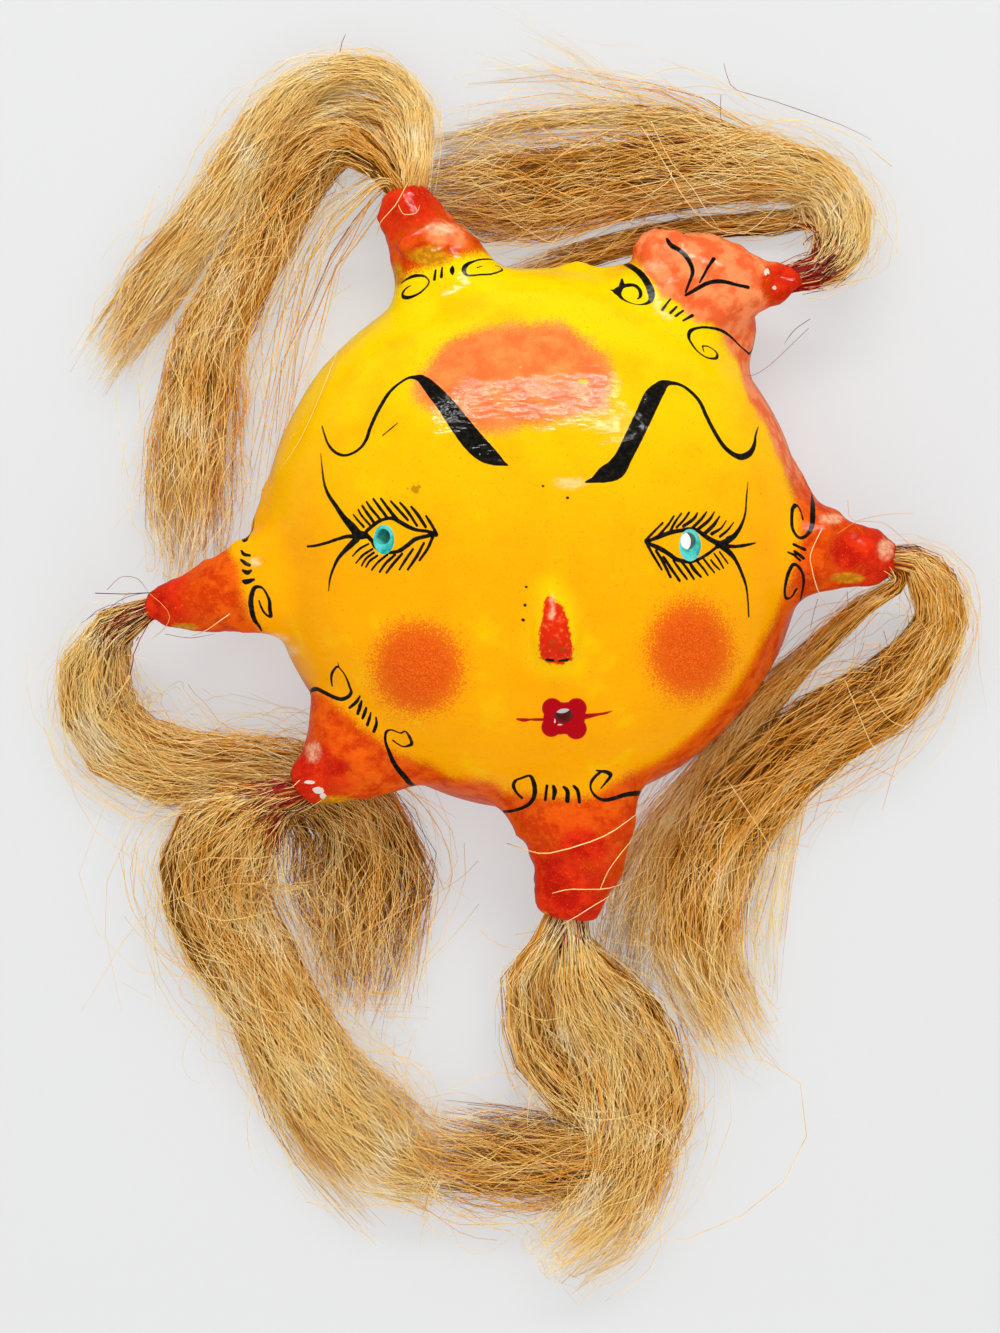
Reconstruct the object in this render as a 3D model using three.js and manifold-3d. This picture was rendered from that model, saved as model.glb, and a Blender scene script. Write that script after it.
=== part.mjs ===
// A sun mask made from half a coconut shell. The shell is the face; six stubby rays of modelled paste stand
// out around its edge, and a hank of pale agave fibre is set into the tip of each ray. The mask lies on its
// back with the face up: the sawn rim of the shell and the undersides of the hanks rest on z = 0.
// Units are millimetres, +Z is up and +Y is the top of the face.
import * as THREE from "three";
import { mergeVertices } from "three/addons/utils/BufferGeometryUtils.js";
import Module from "manifold-3d";

const wasm = await Module();
wasm.setup();

// The shell
const SHELL_RADIUS = 62; // outside, at the sawn rim
const SHELL_DEPTH = 54; // rim to crown
const SHELL_WALL = 5; // coconut shell with its coat of paste and paint
const SHELL_POWER = 2.25; // 2 is an ellipse; a higher power is fuller at the shoulder
const FACE_CENTRE = new THREE.Vector3(6.2, 27, 0); // axis of the shell, from the middle of the whole mask

// The holes that are drilled square to the shell: x, y from its axis, and radius
const HOLES = [
  [-32.7, -1.3, 1.8],
  [32.7, -2.2, 1.8],
  [6.2, -39.8, 2],
];
const DRILL_TRAVEL = 14;

// The rays
const RAY_HEIGHT = 17; // their axes, above the rim
const RAY_HALF_DEPTH = 11.5; // at the widest

// The hanks. Each is a bundle of locks, so its section is lobed, and the lobes wind slowly round it.
const HANK_GAP = 0.4; // between a ray's tip and the hank set into it
const LOCK_LOBES = 5;
const LOCK_DEPTH = 0.14; // of the hollows, as a share of the half width
const LOCK_TWIST = 0.7; // turns over the length of a lock
const FRAY = 4; // how far the lobes stand out past the hollows at a lock's loose end
const FRAY_START = 0.9; // as a share of the lock's length

// Facets
const SHELL_SEGMENTS = 48;
const SHELL_RINGS = 13;
const HOLLOW_RINGS = 7;
const RAY_SIDES = 14;
const RAY_STEPS = 7;
const LOCK_SIDES = 15;
const LOCK_STEPS = 14;
const HOLE_SIDES = 12;

// Each ray's axis as [x, y, half width] from the axis of the shell. The first point lies inside the
// shell's wall and the last is the tip.
const RAYS = {
  upper_left: [
    [-17.5, 50.5, 13.5],
    [-20.5, 58.5, 12],
    [-24.5, 66.5, 8.5],
    [-27.5, 72.5, 6.5],
    [-29, 78, 5],
  ],
  upper_right: [
    [24, 43, 13.5],
    [35.5, 54.5, 14],
    [45, 56.5, 9.75],
    [52, 57, 5.5],
    [57, 56.5, 4.25],
  ],
  right: [
    [52, -3, 11.75],
    [62.5, -3, 11],
    [68.5, -4, 8],
    [76, -4.5, 6.25],
    [81.5, -5, 3.75],
  ],
  bottom: [
    [7, -52.5, 16.5],
    [9, -61.5, 15.25],
    [10, -68.5, 12],
    [9, -76, 9.75],
    [7, -85.5, 6.5],
  ],
  lower_left: [
    [-29, -36.5, 16.25],
    [-39, -46, 15.25],
    [-45, -51.5, 9.5],
    [-49, -54, 6.5],
    [-53, -56.5, 4.25],
  ],
  left: [
    [-52.5, -9, 12.5],
    [-62.5, -11, 11.5],
    [-68.5, -12.5, 9.25],
    [-77, -14.5, 6.75],
    [-87.5, -15.5, 2.75],
  ],
};

// Each lock's line as [x, y, half width, thickness] from the axis of the shell. A hank's first lock is set
// into the ray and drops to the floor within `fall`; the others part from it already on the floor.
const HANKS = {
  upper_left: {
    fall: 32,
    locks: [
      [
        [-28.5, 87.5, 5.5, 11],
        [-30.5, 97, 5.75, 12],
        [-38.5, 104.5, 6, 12],
        [-48, 104.5, 6.75, 12],
        [-58, 97.5, 8.5, 12],
        [-67, 83, 9.25, 12],
        [-78.5, 66, 9.25, 11],
        [-89, 51, 9, 9],
        [-97, 41, 6, 5],
      ],
      [
        [-30.5, 91, 4, 8],
        [-36, 92.5, 6, 12],
        [-43, 89, 7.75, 12],
        [-51.5, 79.5, 8.75, 12],
        [-60, 68, 8.75, 12],
        [-68.5, 54.5, 8.75, 12],
        [-75, 41, 9, 11],
        [-78.5, 22.5, 9.5, 10],
        [-77.5, 6.5, 8, 8],
        [-79, -2, 4.5, 4],
      ],
    ],
  },
  upper_right: {
    fall: 34,
    locks: [
      [
        [66.5, 58, 5.5, 10],
        [71.5, 64.5, 6.75, 12],
        [71, 74, 9, 12],
        [63, 80.5, 10.25, 13],
        [48.5, 82.5, 11.5, 13],
        [31, 84, 12.5, 12],
        [13, 85, 12, 11],
        [-3, 84, 10.5, 9],
        [-15, 84, 6.5, 5],
      ],
      [
        [51, 76, 4, 5],
        [35.5, 73.5, 4, 5],
        [19.5, 70, 4, 4.5],
        [8, 67, 2.5, 3.5],
      ],
    ],
  },
  right: {
    fall: 34,
    locks: [
      [
        [87.5, -7.5, 5.75, 11],
        [90.5, -15, 6, 12],
        [88.5, -26.5, 6.75, 12],
        [80, -37.5, 9, 12],
        [69, -48, 11.5, 12],
        [57.5, -60, 12.25, 12],
        [48, -74.5, 11.75, 11],
        [43.5, -89, 10, 10],
        [44.5, -101.5, 7.75, 8],
        [47, -111, 4, 4.5],
      ],
      [
        [89, -14.5, 3.5, 8],
        [80.5, -18, 4.25, 9],
        [69.5, -25.5, 4.75, 9],
        [60, -38, 5.5, 9],
        [48, -52, 6.5, 10],
        [37.5, -64.5, 8.25, 10],
        [30, -78, 8, 9],
        [26, -89, 5.5, 5],
      ],
    ],
  },
  bottom: {
    fall: 30,
    locks: [
      [
        [5.5, -95, 10, 12],
        [7.5, -105, 13.5, 13],
        [14.5, -117, 14.25, 13],
        [20.5, -129, 12.75, 13],
        [20, -141.5, 11.5, 12],
        [16, -152, 9, 8],
        [12, -160, 4.5, 4],
      ],
      [
        [27, -122, 5.5, 10],
        [26.5, -132.5, 7.75, 13],
        [17, -141.5, 9.5, 12],
        [3.5, -142.5, 10, 11],
        [-9.5, -140.5, 9, 9],
        [-15.5, -138.5, 6, 5],
      ],
    ],
  },
  lower_left: {
    fall: 44,
    locks: [
      [
        [-60, -59.5, 6, 9],
        [-70.5, -64, 9.5, 10],
        [-74.5, -75, 11.5, 12],
        [-72, -88, 11, 13],
        [-63, -101.5, 11.5, 13],
        [-53, -115.5, 11.5, 12],
        [-43, -127.5, 11.5, 11],
        [-33, -137, 10, 8],
        [-28, -141.5, 6, 4.5],
      ],
    ],
  },
  left: {
    fall: 30,
    locks: [
      [
        [-95.5, -20.5, 6.75, 11],
        [-100, -29, 8, 12],
        [-101, -39.5, 8.75, 12],
        [-94, -48.5, 9, 11],
        [-80.5, -51, 9, 7],
        [-67, -51, 7.25, 6],
        [-60, -51.5, 4, 5],
      ],
      [
        [-75.5, -51.5, 6, 6],
        [-63, -51.5, 5.5, 6],
        [-51, -54.5, 6, 6],
        [-40.5, -63.5, 8.75, 6],
        [-35.5, -75.5, 10.5, 6],
        [-36, -88, 9.5, 5.5],
        [-38.5, -99, 6, 4],
      ],
    ],
  },
};

// The nose's ridge as [x, y, half width, half height]; it is proudest just above the nostrils.
const NOSE = [
  [4.6, 9, 3, 1.5],
  [4.3, -4, 4.2, 3.2],
  [4.2, -15, 5.4, 5.6],
  [4.2, -23, 5.6, 8.2],
  [4.2, -27.5, 4.6, 5.8],
  [4.2, -30, 2.2, 2.4],
];
const NOSE_SUNK = 1.5; // how far its axis lies under the face

// The height of the shell's outside above the rim, at a distance r from its axis
function shellHeight(r) {
  return SHELL_DEPTH * (1 - (r / SHELL_RADIUS) ** SHELL_POWER) ** (1 / SHELL_POWER);
}

// A closed mesh with its shared vertices merged, as a solid that can be joined and cut
function solid(geometry) {
  geometry.deleteAttribute("normal");
  geometry.deleteAttribute("uv");
  const merged = mergeVertices(geometry, 1e-4);
  return new wasm.Manifold(
    new wasm.Mesh({
      numProp: 3,
      vertProperties: merged.attributes.position.array,
      triVerts: new Uint32Array(merged.index.array),
    }),
  );
}

// A named part from a finished solid
function part(name, made, material) {
  const { vertProperties, triVerts } = made.getMesh();
  const geometry = new THREE.BufferGeometry();
  geometry.setAttribute("position", new THREE.BufferAttribute(vertProperties, 3));
  geometry.setIndex(new THREE.BufferAttribute(triVerts, 1));
  geometry.computeVertexNormals();
  const mesh = new THREE.Mesh(geometry, material);
  mesh.name = name;
  return mesh;
}

// A cylinder bent along stations of { x, y, z, wide, high }, with an upright section of those half sizes.
// swell(angle, along) scales the section and reach(angle, along) pushes it along the line.
function sweep(stations, sides, steps, swell = () => 1, reach = () => 0) {
  const centres = new THREE.CatmullRomCurve3(stations.map(({ x, y, z }) => new THREE.Vector3(x, y, z)));
  const halves = new THREE.CatmullRomCurve3(stations.map(({ wide, high }) => new THREE.Vector3(wide, high)));
  const up = new THREE.Vector3(0, 0, 1);
  const geometry = new THREE.CylinderGeometry(1, 1, 1, sides, steps);
  const position = geometry.attributes.position;
  for (let i = 0; i < position.count; i++) {
    const along = THREE.MathUtils.clamp(position.getY(i) + 0.5, 0, 1);
    const across = position.getX(i);
    const above = position.getZ(i);
    const turn = Math.atan2(above, across);
    const rim = Math.hypot(across, above);
    const half = halves.getPoint(along).multiplyScalar(swell(turn, along));
    const ahead = centres.getTangent(along).setZ(0).normalize();
    const side = ahead.clone().cross(up);
    const point = centres
      .getPoint(along)
      .addScaledVector(side, across * half.x)
      .addScaledVector(up, above * half.y)
      .addScaledVector(ahead, rim * reach(turn, along));
    position.setXYZ(i, point.x, point.y, Math.max(point.z, 0));
  }
  return solid(geometry);
}

// A rounded bowl as a solid of revolution about Z, with its mouth at the level `bottom`
function bowl(radius, depth, rings, bottom) {
  const profile = [new THREE.Vector2(0, bottom)];
  if (bottom < 0) profile.push(new THREE.Vector2(radius, bottom));
  for (let i = 0; i <= rings; i++) {
    const turn = (1 - i / rings) * (Math.PI / 2);
    const r = i === rings ? 0 : radius * Math.sin(turn) ** (2 / SHELL_POWER);
    const z = i === 0 ? 0 : depth * Math.cos(turn) ** (2 / SHELL_POWER);
    profile.push(new THREE.Vector2(r, z));
  }
  return solid(new THREE.LatheGeometry(profile, SHELL_SEGMENTS).rotateX(Math.PI / 2));
}

// A drill that enters square to the shell at x, y
function drill(x, y, radius) {
  const step = 0.01;
  const r = Math.hypot(x, y);
  const slope = (shellHeight(r + step) - shellHeight(r)) / step;
  const outward = new THREE.Vector3((-slope * x) / r, (-slope * y) / r, 1).normalize();
  const bit = new THREE.CylinderGeometry(radius, radius, DRILL_TRAVEL, HOLE_SIDES);
  bit.applyQuaternion(new THREE.Quaternion().setFromUnitVectors(new THREE.Vector3(0, 1, 0), outward));
  bit.translate(x, y, shellHeight(r));
  return solid(bit);
}

function ray(line) {
  const stations = line.map(([x, y, wide]) => ({
    x,
    y,
    z: RAY_HEIGHT,
    wide,
    high: Math.min(wide, RAY_HALF_DEPTH),
  }));
  return sweep(stations, RAY_SIDES, RAY_STEPS);
}

function nose() {
  const stations = NOSE.map(([x, y, wide, high]) => ({
    x,
    y,
    z: shellHeight(Math.hypot(x, y)) - NOSE_SUNK,
    wide,
    high,
  }));
  return sweep(stations, RAY_SIDES, RAY_STEPS);
}

// The shell with its rays and nose, hollowed and drilled
function maskBody() {
  let body = bowl(SHELL_RADIUS, SHELL_DEPTH, SHELL_RINGS, 0).add(nose());
  for (const line of Object.values(RAYS)) {
    body = body.add(ray(line));
  }
  body = body.subtract(bowl(SHELL_RADIUS - SHELL_WALL, SHELL_DEPTH - SHELL_WALL, HOLLOW_RINGS, -1));
  for (const [x, y, radius] of HOLES) {
    body = body.subtract(drill(x, y, radius));
  }
  return body;
}

// One lock, which drops from the ray's height to the floor within `fall`; a fall of 0 starts on the floor
function lock(line, fall) {
  let travelled = 0;
  const stations = line.map(([x, y, wide, thick], i) => {
    if (i > 0) travelled += Math.hypot(x - line[i - 1][0], y - line[i - 1][1]);
    const dropped = fall > 0 ? THREE.MathUtils.smoothstep(travelled, 0, fall) : 1;
    return { x, y, z: THREE.MathUtils.lerp(RAY_HEIGHT, thick / 2, dropped), wide, high: thick / 2 };
  });
  const wave = (turn, along) => Math.cos(LOCK_LOBES * turn + 2 * Math.PI * LOCK_TWIST * along);
  const swell = (turn, along) => 1 - LOCK_DEPTH * Math.min(1, 6 * along) * (1 - wave(turn, along));
  const reach = (turn, along) =>
    FRAY * THREE.MathUtils.smoothstep(along, FRAY_START, 1) * wave(turn, along);
  return sweep(stations, LOCK_SIDES, LOCK_STEPS, swell, reach);
}

// The hank set into one ray: its first lock starts just off the ray's tip and square to it
function hank(place) {
  const [[x0, y0], [x1, y1, wide]] = RAYS[place].slice(-2);
  const out = new THREE.Vector2(x1 - x0, y1 - y0).normalize();
  const root = [HANK_GAP, HANK_GAP + 1.5].map((reach) => [
    x1 + out.x * reach,
    y1 + out.y * reach,
    wide,
    2 * wide,
  ]);
  const { fall, locks } = HANKS[place];
  const [first, ...others] = locks;
  return others.reduce((joined, line) => joined.add(lock(line, 0)), lock([...root, ...first], fall));
}

const paint = new THREE.MeshStandardMaterial({ color: 0xf7b000, roughness: 0.3, metalness: 0 });
const fibre = new THREE.MeshStandardMaterial({ color: 0xcda668, roughness: 0.65, metalness: 0 });

const mask = new THREE.Group();
mask.position.copy(FACE_CENTRE);
mask.add(part("mask_body", maskBody(), paint));
for (const place of Object.keys(HANKS)) {
  mask.add(part(`tassel_${place}`, hank(place), fibre));
}

export default mask;
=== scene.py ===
import math
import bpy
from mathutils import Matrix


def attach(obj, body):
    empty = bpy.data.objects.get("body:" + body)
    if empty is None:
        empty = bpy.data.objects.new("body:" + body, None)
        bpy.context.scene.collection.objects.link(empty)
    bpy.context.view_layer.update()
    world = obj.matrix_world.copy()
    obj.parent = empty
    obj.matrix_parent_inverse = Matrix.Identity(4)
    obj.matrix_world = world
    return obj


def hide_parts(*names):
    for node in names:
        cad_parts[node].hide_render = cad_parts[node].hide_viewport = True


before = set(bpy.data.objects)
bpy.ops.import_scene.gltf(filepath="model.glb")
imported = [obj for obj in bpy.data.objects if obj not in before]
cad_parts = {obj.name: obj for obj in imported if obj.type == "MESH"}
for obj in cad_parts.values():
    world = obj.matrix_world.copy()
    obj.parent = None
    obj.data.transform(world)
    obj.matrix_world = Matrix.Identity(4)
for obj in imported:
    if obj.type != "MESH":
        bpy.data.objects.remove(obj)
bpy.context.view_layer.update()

from types import SimpleNamespace

import bmesh
import bpy
import numpy as np
from mathutils import Matrix, Vector, noise
from mathutils.bvhtree import BVHTree

# The studio: the mask lies on a plain pale table, and the camera looks straight down on its face from 700 mm
# above the table. Soft light comes from beyond the top of the face, as the gloss on its forehead shows.
VIEW_POINT = (-0.0014, -0.0021)
VIEW_HEIGHT = 0.7
PICTURE_HEIGHT = 0.3065  # of the table that the camera sees

lens = bpy.data.cameras.new("camera")
lens.sensor_fit = "VERTICAL"
lens.sensor_height = 36
lens.lens = lens.sensor_height * VIEW_HEIGHT / PICTURE_HEIGHT
lens.clip_start = 0.01
camera = bpy.data.objects.new("camera", lens)
camera.location = (*VIEW_POINT, VIEW_HEIGHT)
bpy.context.scene.collection.objects.link(camera)
bpy.context.scene.camera = camera
bpy.context.scene.view_settings.view_transform = "Standard"


def soft_light(name, place, aim, width, height, watts, glossy=False, diffuse=True):
    """A soft box that faces `aim`"""
    light = bpy.data.lights.new(name, "AREA")
    light.shape = "RECTANGLE"
    light.size = width
    light.size_y = height
    light.energy = watts
    lamp = bpy.data.objects.new(name, light)
    lamp.location = place
    lamp.rotation_euler = (Vector(aim) - Vector(place)).to_track_quat("-Z", "Y").to_euler()
    lamp.visible_glossy = glossy
    lamp.visible_diffuse = diffuse
    bpy.context.scene.collection.objects.link(lamp)


BEYOND_THE_TOP = (0.02, 0.97, 0.89)
FOREHEAD_PLACE = (0.005, 0.03, 0.05)
soft_light("strip_box", BEYOND_THE_TOP, FOREHEAD_PLACE, 1.3, 0.16, 9)
soft_light("gloss_box", BEYOND_THE_TOP, FOREHEAD_PLACE, 1.3, 0.2, 95, glossy=True, diffuse=False)
soft_light("top_box", (-0.2, 2.2, 1.45), (0, 0, 0), 2.4, 1.6, 1.5)
soft_light("fill_box", (0.3, -2.2, 1.2), (0, 0, 0), 2.4, 1.6, 15)
soft_light("overhead_box", (0, -0.1, 1.6), (0, 0, 0), 2.2, 2.2, 6)

# The photo's bright background shows through the right eye and, less, through the mouth: two small lamps
# under the shell light the table there. Each has its place, what it aims at and its watts.
UNDER_LAMPS = [
    ((0.031, 0.027, 0.02), (0.0417, 0.0267, 0), 0.04),
    ((0.008, -0.008, 0.02), (0.0135, -0.0129, 0), 0.004),
]
for place, aim, watts in UNDER_LAMPS:
    light = bpy.data.lights.new("under_lamp", "SPOT")
    light.energy = watts
    light.spot_size = math.radians(50)
    light.shadow_soft_size = 0.002
    lamp = bpy.data.objects.new("under_lamp", light)
    lamp.location = place
    lamp.rotation_euler = (Vector(aim) - Vector(place)).to_track_quat("-Z", "Y").to_euler()
    lamp.visible_camera = False
    lamp.visible_glossy = False
    bpy.context.scene.collection.objects.link(lamp)

surroundings = bpy.data.worlds.new("surroundings")
surroundings.use_nodes = True
sky = surroundings.node_tree.nodes["Background"]
sky.inputs["Color"].default_value = (0.97, 0.98, 1, 1)
wires = surroundings.node_tree.links
path = surroundings.node_tree.nodes.new("ShaderNodeLightPath")
dim = surroundings.node_tree.nodes.new("ShaderNodeMapRange")
dim.inputs["To Min"].default_value = 0.78
dim.inputs["To Max"].default_value = 0.3  # as the lacquer mirrors it
wires.new(path.outputs["Is Glossy Ray"], dim.inputs["Value"])
wires.new(dim.outputs["Result"], sky.inputs["Strength"])
bpy.context.scene.world = surroundings

bm = bmesh.new()
bmesh.ops.create_grid(bm, x_segments=1, y_segments=1, size=2)
table_mesh = bpy.data.meshes.new("table")
bm.to_mesh(table_mesh)
bm.free()
table = bpy.data.objects.new("table", table_mesh)
bpy.context.scene.collection.objects.link(table)
paper = bpy.data.materials.new("white paper")
paper.use_nodes = True
# It glows a little, because shadows hardly show on the photo's paper
dull_white = {
    "Base Color": (0.29, 0.29, 0.29, 1), "Roughness": 0.9, "Specular IOR Level": 0,
    "Emission Color": (1, 1, 1, 1), "Emission Strength": 0.45,
}
for socket, value in dull_white.items():
    paper.node_tree.nodes["Principled BSDF"].inputs[socket].default_value = value
table_mesh.materials.append(paper)
table.visible_glossy = False

# The mask's body: half a husked coconut, sawn across and scraped out, with six rays and a nose of paste
# modelled on it by hand. Lengths are in millimetres from the axis of the shell, with the sawn rim at 0.
MM = 0.001
FACE_CENTRE = Vector((6.2, 27, 0))
SHELL_RADIUS = 62
SHELL_DEPTH = 54
SHELL_WALL = 5
SHELL_POWER = 2.25  # 2 is an ellipse; a higher power is fuller at the shoulder
RAY_HEIGHT = 17
RAY_HALF_DEPTH = 11.5
NOSE_SUNK = 1.5
PASTE_FROM = 50  # the shell is bare of paste nearer than this to its axis
JOINTS_FROM = 48
JOINT_WIDTH = 9  # of the band round the root of a ray where the paste is smoothed down
JOINT_HEIGHT = 7
SMOOTHINGS = 24
GRAIN = 1.4  # size of the faces of the modelled form
SAWN_OFF = 5 * GRAIN  # how far the whole form goes on below the rim until it is cut
# Height and length of the slow waves and the ripples of the face, and of the lumps and pits of the paste
WAVE, RIPPLE, LUMP, PIT = (0.35, 17), (0.1, 6), (0.9, 6), (0.45, 2.6)

# Each ray's axis as x, y and half width, from inside the shell to its tip
RAYS = {
    "upper_left": [
        (-17.5, 50.5, 13.5), (-20.5, 58.5, 12), (-24.5, 66.5, 8.5), (-27.5, 72.5, 6.5), (-29, 78, 5),
    ],
    "upper_right": [
        (24, 43, 13.5), (35.5, 54.5, 14), (45, 56.5, 9.75), (52, 57, 5.5), (57, 56.5, 4.25),
    ],
    "right": [
        (52, -3, 11.75), (62.5, -3, 11), (68.5, -4, 8), (76, -4.5, 6.25), (81.5, -5, 3.75),
    ],
    "bottom": [
        (7, -52.5, 16.5), (9, -61.5, 15.25), (10, -68.5, 12), (9, -76, 9.75), (7, -85.5, 6.5),
    ],
    "lower_left": [
        (-29, -36.5, 16.25), (-39, -46, 15.25), (-45, -51.5, 9.5), (-49, -54, 6.5), (-53, -56.5, 4.25),
    ],
    "left": [
        (-52.5, -9, 12.5), (-62.5, -11, 11.5), (-68.5, -12.5, 9.25), (-77, -14.5, 6.75),
        (-87.5, -15.5, 2.75),
    ],
}
# The nose's ridge as x, y, half width and half height
NOSE = [
    (4.6, 9, 3, 1.5), (4.3, -4, 4.2, 3.2), (4.2, -15, 5.4, 5.6), (4.2, -23, 5.6, 8.2), (4.2, -27.5, 4.6, 5.8),
    (4.2, -30, 2.2, 2.4),
]
# Lumps of paste as x, y, z and radius
LUMPS = [
    (-28, 64, 25, 2.4), (-25.8, 65.8, 25.6, 2.2), (-23, 67.5, 25.8, 2.1), (-20.6, 68, 25.4, 2.1),
    (-18.2, 67, 24.6, 2.2), (-15.6, 65.6, 23.6, 2.2), (28.5, 62.5, 22, 6.5), (58.5, 57.5, 19, 2.6),
    (42, 45, 9, 9), (41, 50, 11, 9), (-31, 71.5, 17, 4.2), (-15, 63.5, 12, 5),
    (-58, 3, 9, 6.8), (-57, 10, 8, 5), (58, 6, 10, 7.5), (57.5, 12, 9, 5.5), (10, 56, 9, 7.2),
    (20, 55, 10, 7.8),
]
DRILL_START = 3  # how deep inside the shell's outside the middle of the drill is
DRILL_LENGTH = 9
HOLE_TAPER = 0.1
# Drilled holes as x, y, radius, and how far they lean from upright towards square on to the shell
HOLES = [(-32.7, -1.3, 1.8, 1.6), (32.7, -2.2, 1.8, 0.5), (6.2, -39.8, 2, 0.8)]


def smooth_line(points, steps):
    """Rows of numbers joined by a smooth curve, with `steps` to each stretch"""
    p = np.array(points, float)
    p = np.vstack([2 * p[0] - p[1], p, 2 * p[-1] - p[-2]])
    t = np.linspace(0, 1, steps, endpoint=False)[:, None]
    made = [
        b + t * (c - a) / 2 + t**2 * (2 * a - 5 * b + 4 * c - d) / 2 + t**3 * (3 * b - a - 3 * c + d) / 2
        for a, b, c, d in zip(p, p[1:], p[2:], p[3:])
    ]
    return np.vstack([*made, p[-2]])


def shell_height(r):
    """How high the plain shell's outside is at the distance `r` from its axis"""
    return SHELL_DEPTH * max(0, 1 - (r / SHELL_RADIUS) ** SHELL_POWER) ** (1 / SHELL_POWER)


def turn_bowl(bm, radius, depth, below, rings, turns):
    """A closed rounded bowl about Z, with its mouth at the level `below`"""
    profile = []
    for angle in np.linspace(0, math.pi / 2, rings):
        out = radius * math.sin(angle) ** (2 / SHELL_POWER)
        up = depth * abs(math.cos(angle)) ** (2 / SHELL_POWER)
        profile.append(bm.verts.new((out, 0, up)))
    profile.append(bm.verts.new((radius, 0, below)))
    profile.append(bm.verts.new((0, 0, below)))
    edges = [bm.edges.new(pair) for pair in zip(profile, profile[1:])]
    bmesh.ops.spin(
        bm, geom=profile + edges, axis=(0, 0, 1), cent=(0, 0, 0), angle=2 * math.pi, steps=turns,
        use_merge=True,
    )
    bmesh.ops.remove_doubles(bm, verts=bm.verts, dist=1e-3)
    bmesh.ops.recalc_face_normals(bm, faces=bm.faces)


def roll_bar(bm, line, sides):
    """A closed round bar along rows of x, y, z, half width and half height"""
    ahead = np.gradient(line[:, :3], axis=0)
    last = []
    for i, (x, y, z, wide, high) in enumerate(line):
        forward = Vector((*ahead[i][:2], 0)).normalized()
        side = Vector((forward.y, -forward.x, 0))
        place = Matrix((side * wide, Vector((0, 0, high)), forward)).transposed().to_4x4()
        place.translation = (x, y, z)
        ends = i in (0, len(line) - 1)
        ring = bmesh.ops.create_circle(bm, cap_ends=ends, segments=sides, radius=1, matrix=place)["verts"]
        around = set(ring)
        edges = list({e for v in ring for e in v.link_edges if e.other_vert(v) in around})
        if last:
            bmesh.ops.bridge_loops(bm, edges=last + edges)
        last = edges


def finished(mesh, *modifiers):
    """A copy of the mesh with modifiers applied, each given as its kind and its settings"""
    held = bpy.data.objects.new("bench", mesh)
    bpy.context.scene.collection.objects.link(held)
    for kind, settings in modifiers:
        modifier = held.modifiers.new(kind, kind)
        for name, value in settings.items():
            setattr(modifier, name, value)
    depsgraph = bpy.context.evaluated_depsgraph_get()
    made = bpy.data.meshes.new_from_object(held.evaluated_get(depsgraph))
    bpy.data.objects.remove(held)
    return made


def mesh_of(bm, name):
    """The bmesh made into a mesh"""
    mesh = bpy.data.meshes.new(name)
    bm.to_mesh(mesh)
    bm.free()
    return mesh


bm = bmesh.new()
turn_bowl(bm, SHELL_RADIUS, SHELL_DEPTH, -SAWN_OFF, 48, 144)
for axis in RAYS.values():
    roll_bar(
        bm,
        smooth_line([(x, y, RAY_HEIGHT, wide, min(wide, RAY_HALF_DEPTH)) for x, y, wide in axis], 4),
        32,
    )
roll_bar(
    bm,
    smooth_line([(x, y, shell_height(math.hypot(x, y)) - NOSE_SUNK, w, h) for x, y, w, h in NOSE], 4),
    24,
)
for x, y, z, radius in LUMPS:
    bmesh.ops.create_icosphere(bm, subdivisions=3, radius=radius, matrix=Matrix.Translation((x, y, z)))
bmesh.ops.recalc_face_normals(bm, faces=bm.faces)
modelled = finished(
    mesh_of(bm, "paste"),
    ("REMESH", {"mode": "VOXEL", "voxel_size": GRAIN, "adaptivity": 0}),
    ("SMOOTH", {"factor": 0.5, "iterations": 7}),
)


def past_shell(x, y, z):
    """How far a point is from the plain shell's outside, about"""
    full = (math.hypot(x, y) / SHELL_RADIUS) ** SHELL_POWER + (max(z, 0) / SHELL_DEPTH) ** SHELL_POWER
    return (full ** (1 / SHELL_POWER) - 1) * SHELL_RADIUS


def at_joint(place):
    """Whether a point is near where a ray meets the shell"""
    x, y, z = place
    if math.hypot(x, y) < JOINTS_FROM or past_shell(x, y, z) >= JOINT_HEIGHT:
        return False
    roots = [station for axis in RAYS.values() for station in axis[:3]]
    return any(math.hypot(x - a, y - b) < half + JOINT_WIDTH for a, b, half in roots)


def uneven(place, form, shift=0):
    """How far out one kind of unevenness lies at a point"""
    height, length = form
    return height * noise.noise(place / length + Vector((shift, 0, 0)))


# Hand-modelled paste isn't even: the rays are lumpy and the face has slow waves that break up its gloss.
bm = bmesh.new()
bm.from_mesh(modelled)
bm.normal_update()
for v in bm.verts:
    x, y, z = v.co
    paste = min(1, max(0, past_shell(x, y, z) / 6)) if math.hypot(x, y) > PASTE_FROM else 0
    smooth = uneven(v.co, WAVE) + uneven(v.co, RIPPLE, shift=9)
    crumpled = uneven(v.co, LUMP) + uneven(v.co, PIT)
    v.co += v.normal * (smooth * (1 - paste) + crumpled * paste)
# The paste is smoothed where it meets the shell
bm.normal_update()
joints = [v for v in bm.verts if v.co.z > 2 and at_joint(v.co)]
for _ in range(SMOOTHINGS):
    bmesh.ops.smooth_vert(bm, verts=joints, factor=0.5, use_axis_x=True, use_axis_y=True, use_axis_z=True)
cut = bmesh.ops.bisect_plane(
    bm, geom=bm.verts[:] + bm.edges[:] + bm.faces[:], plane_co=(0, 0, 0), plane_no=(0, 0, 1),
    clear_inner=True,
)
bmesh.ops.contextual_create(bm, geom=[e for e in cut["geom_cut"] if isinstance(e, bmesh.types.BMEdge)])
modelled = mesh_of(bm, "modelled")

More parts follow.
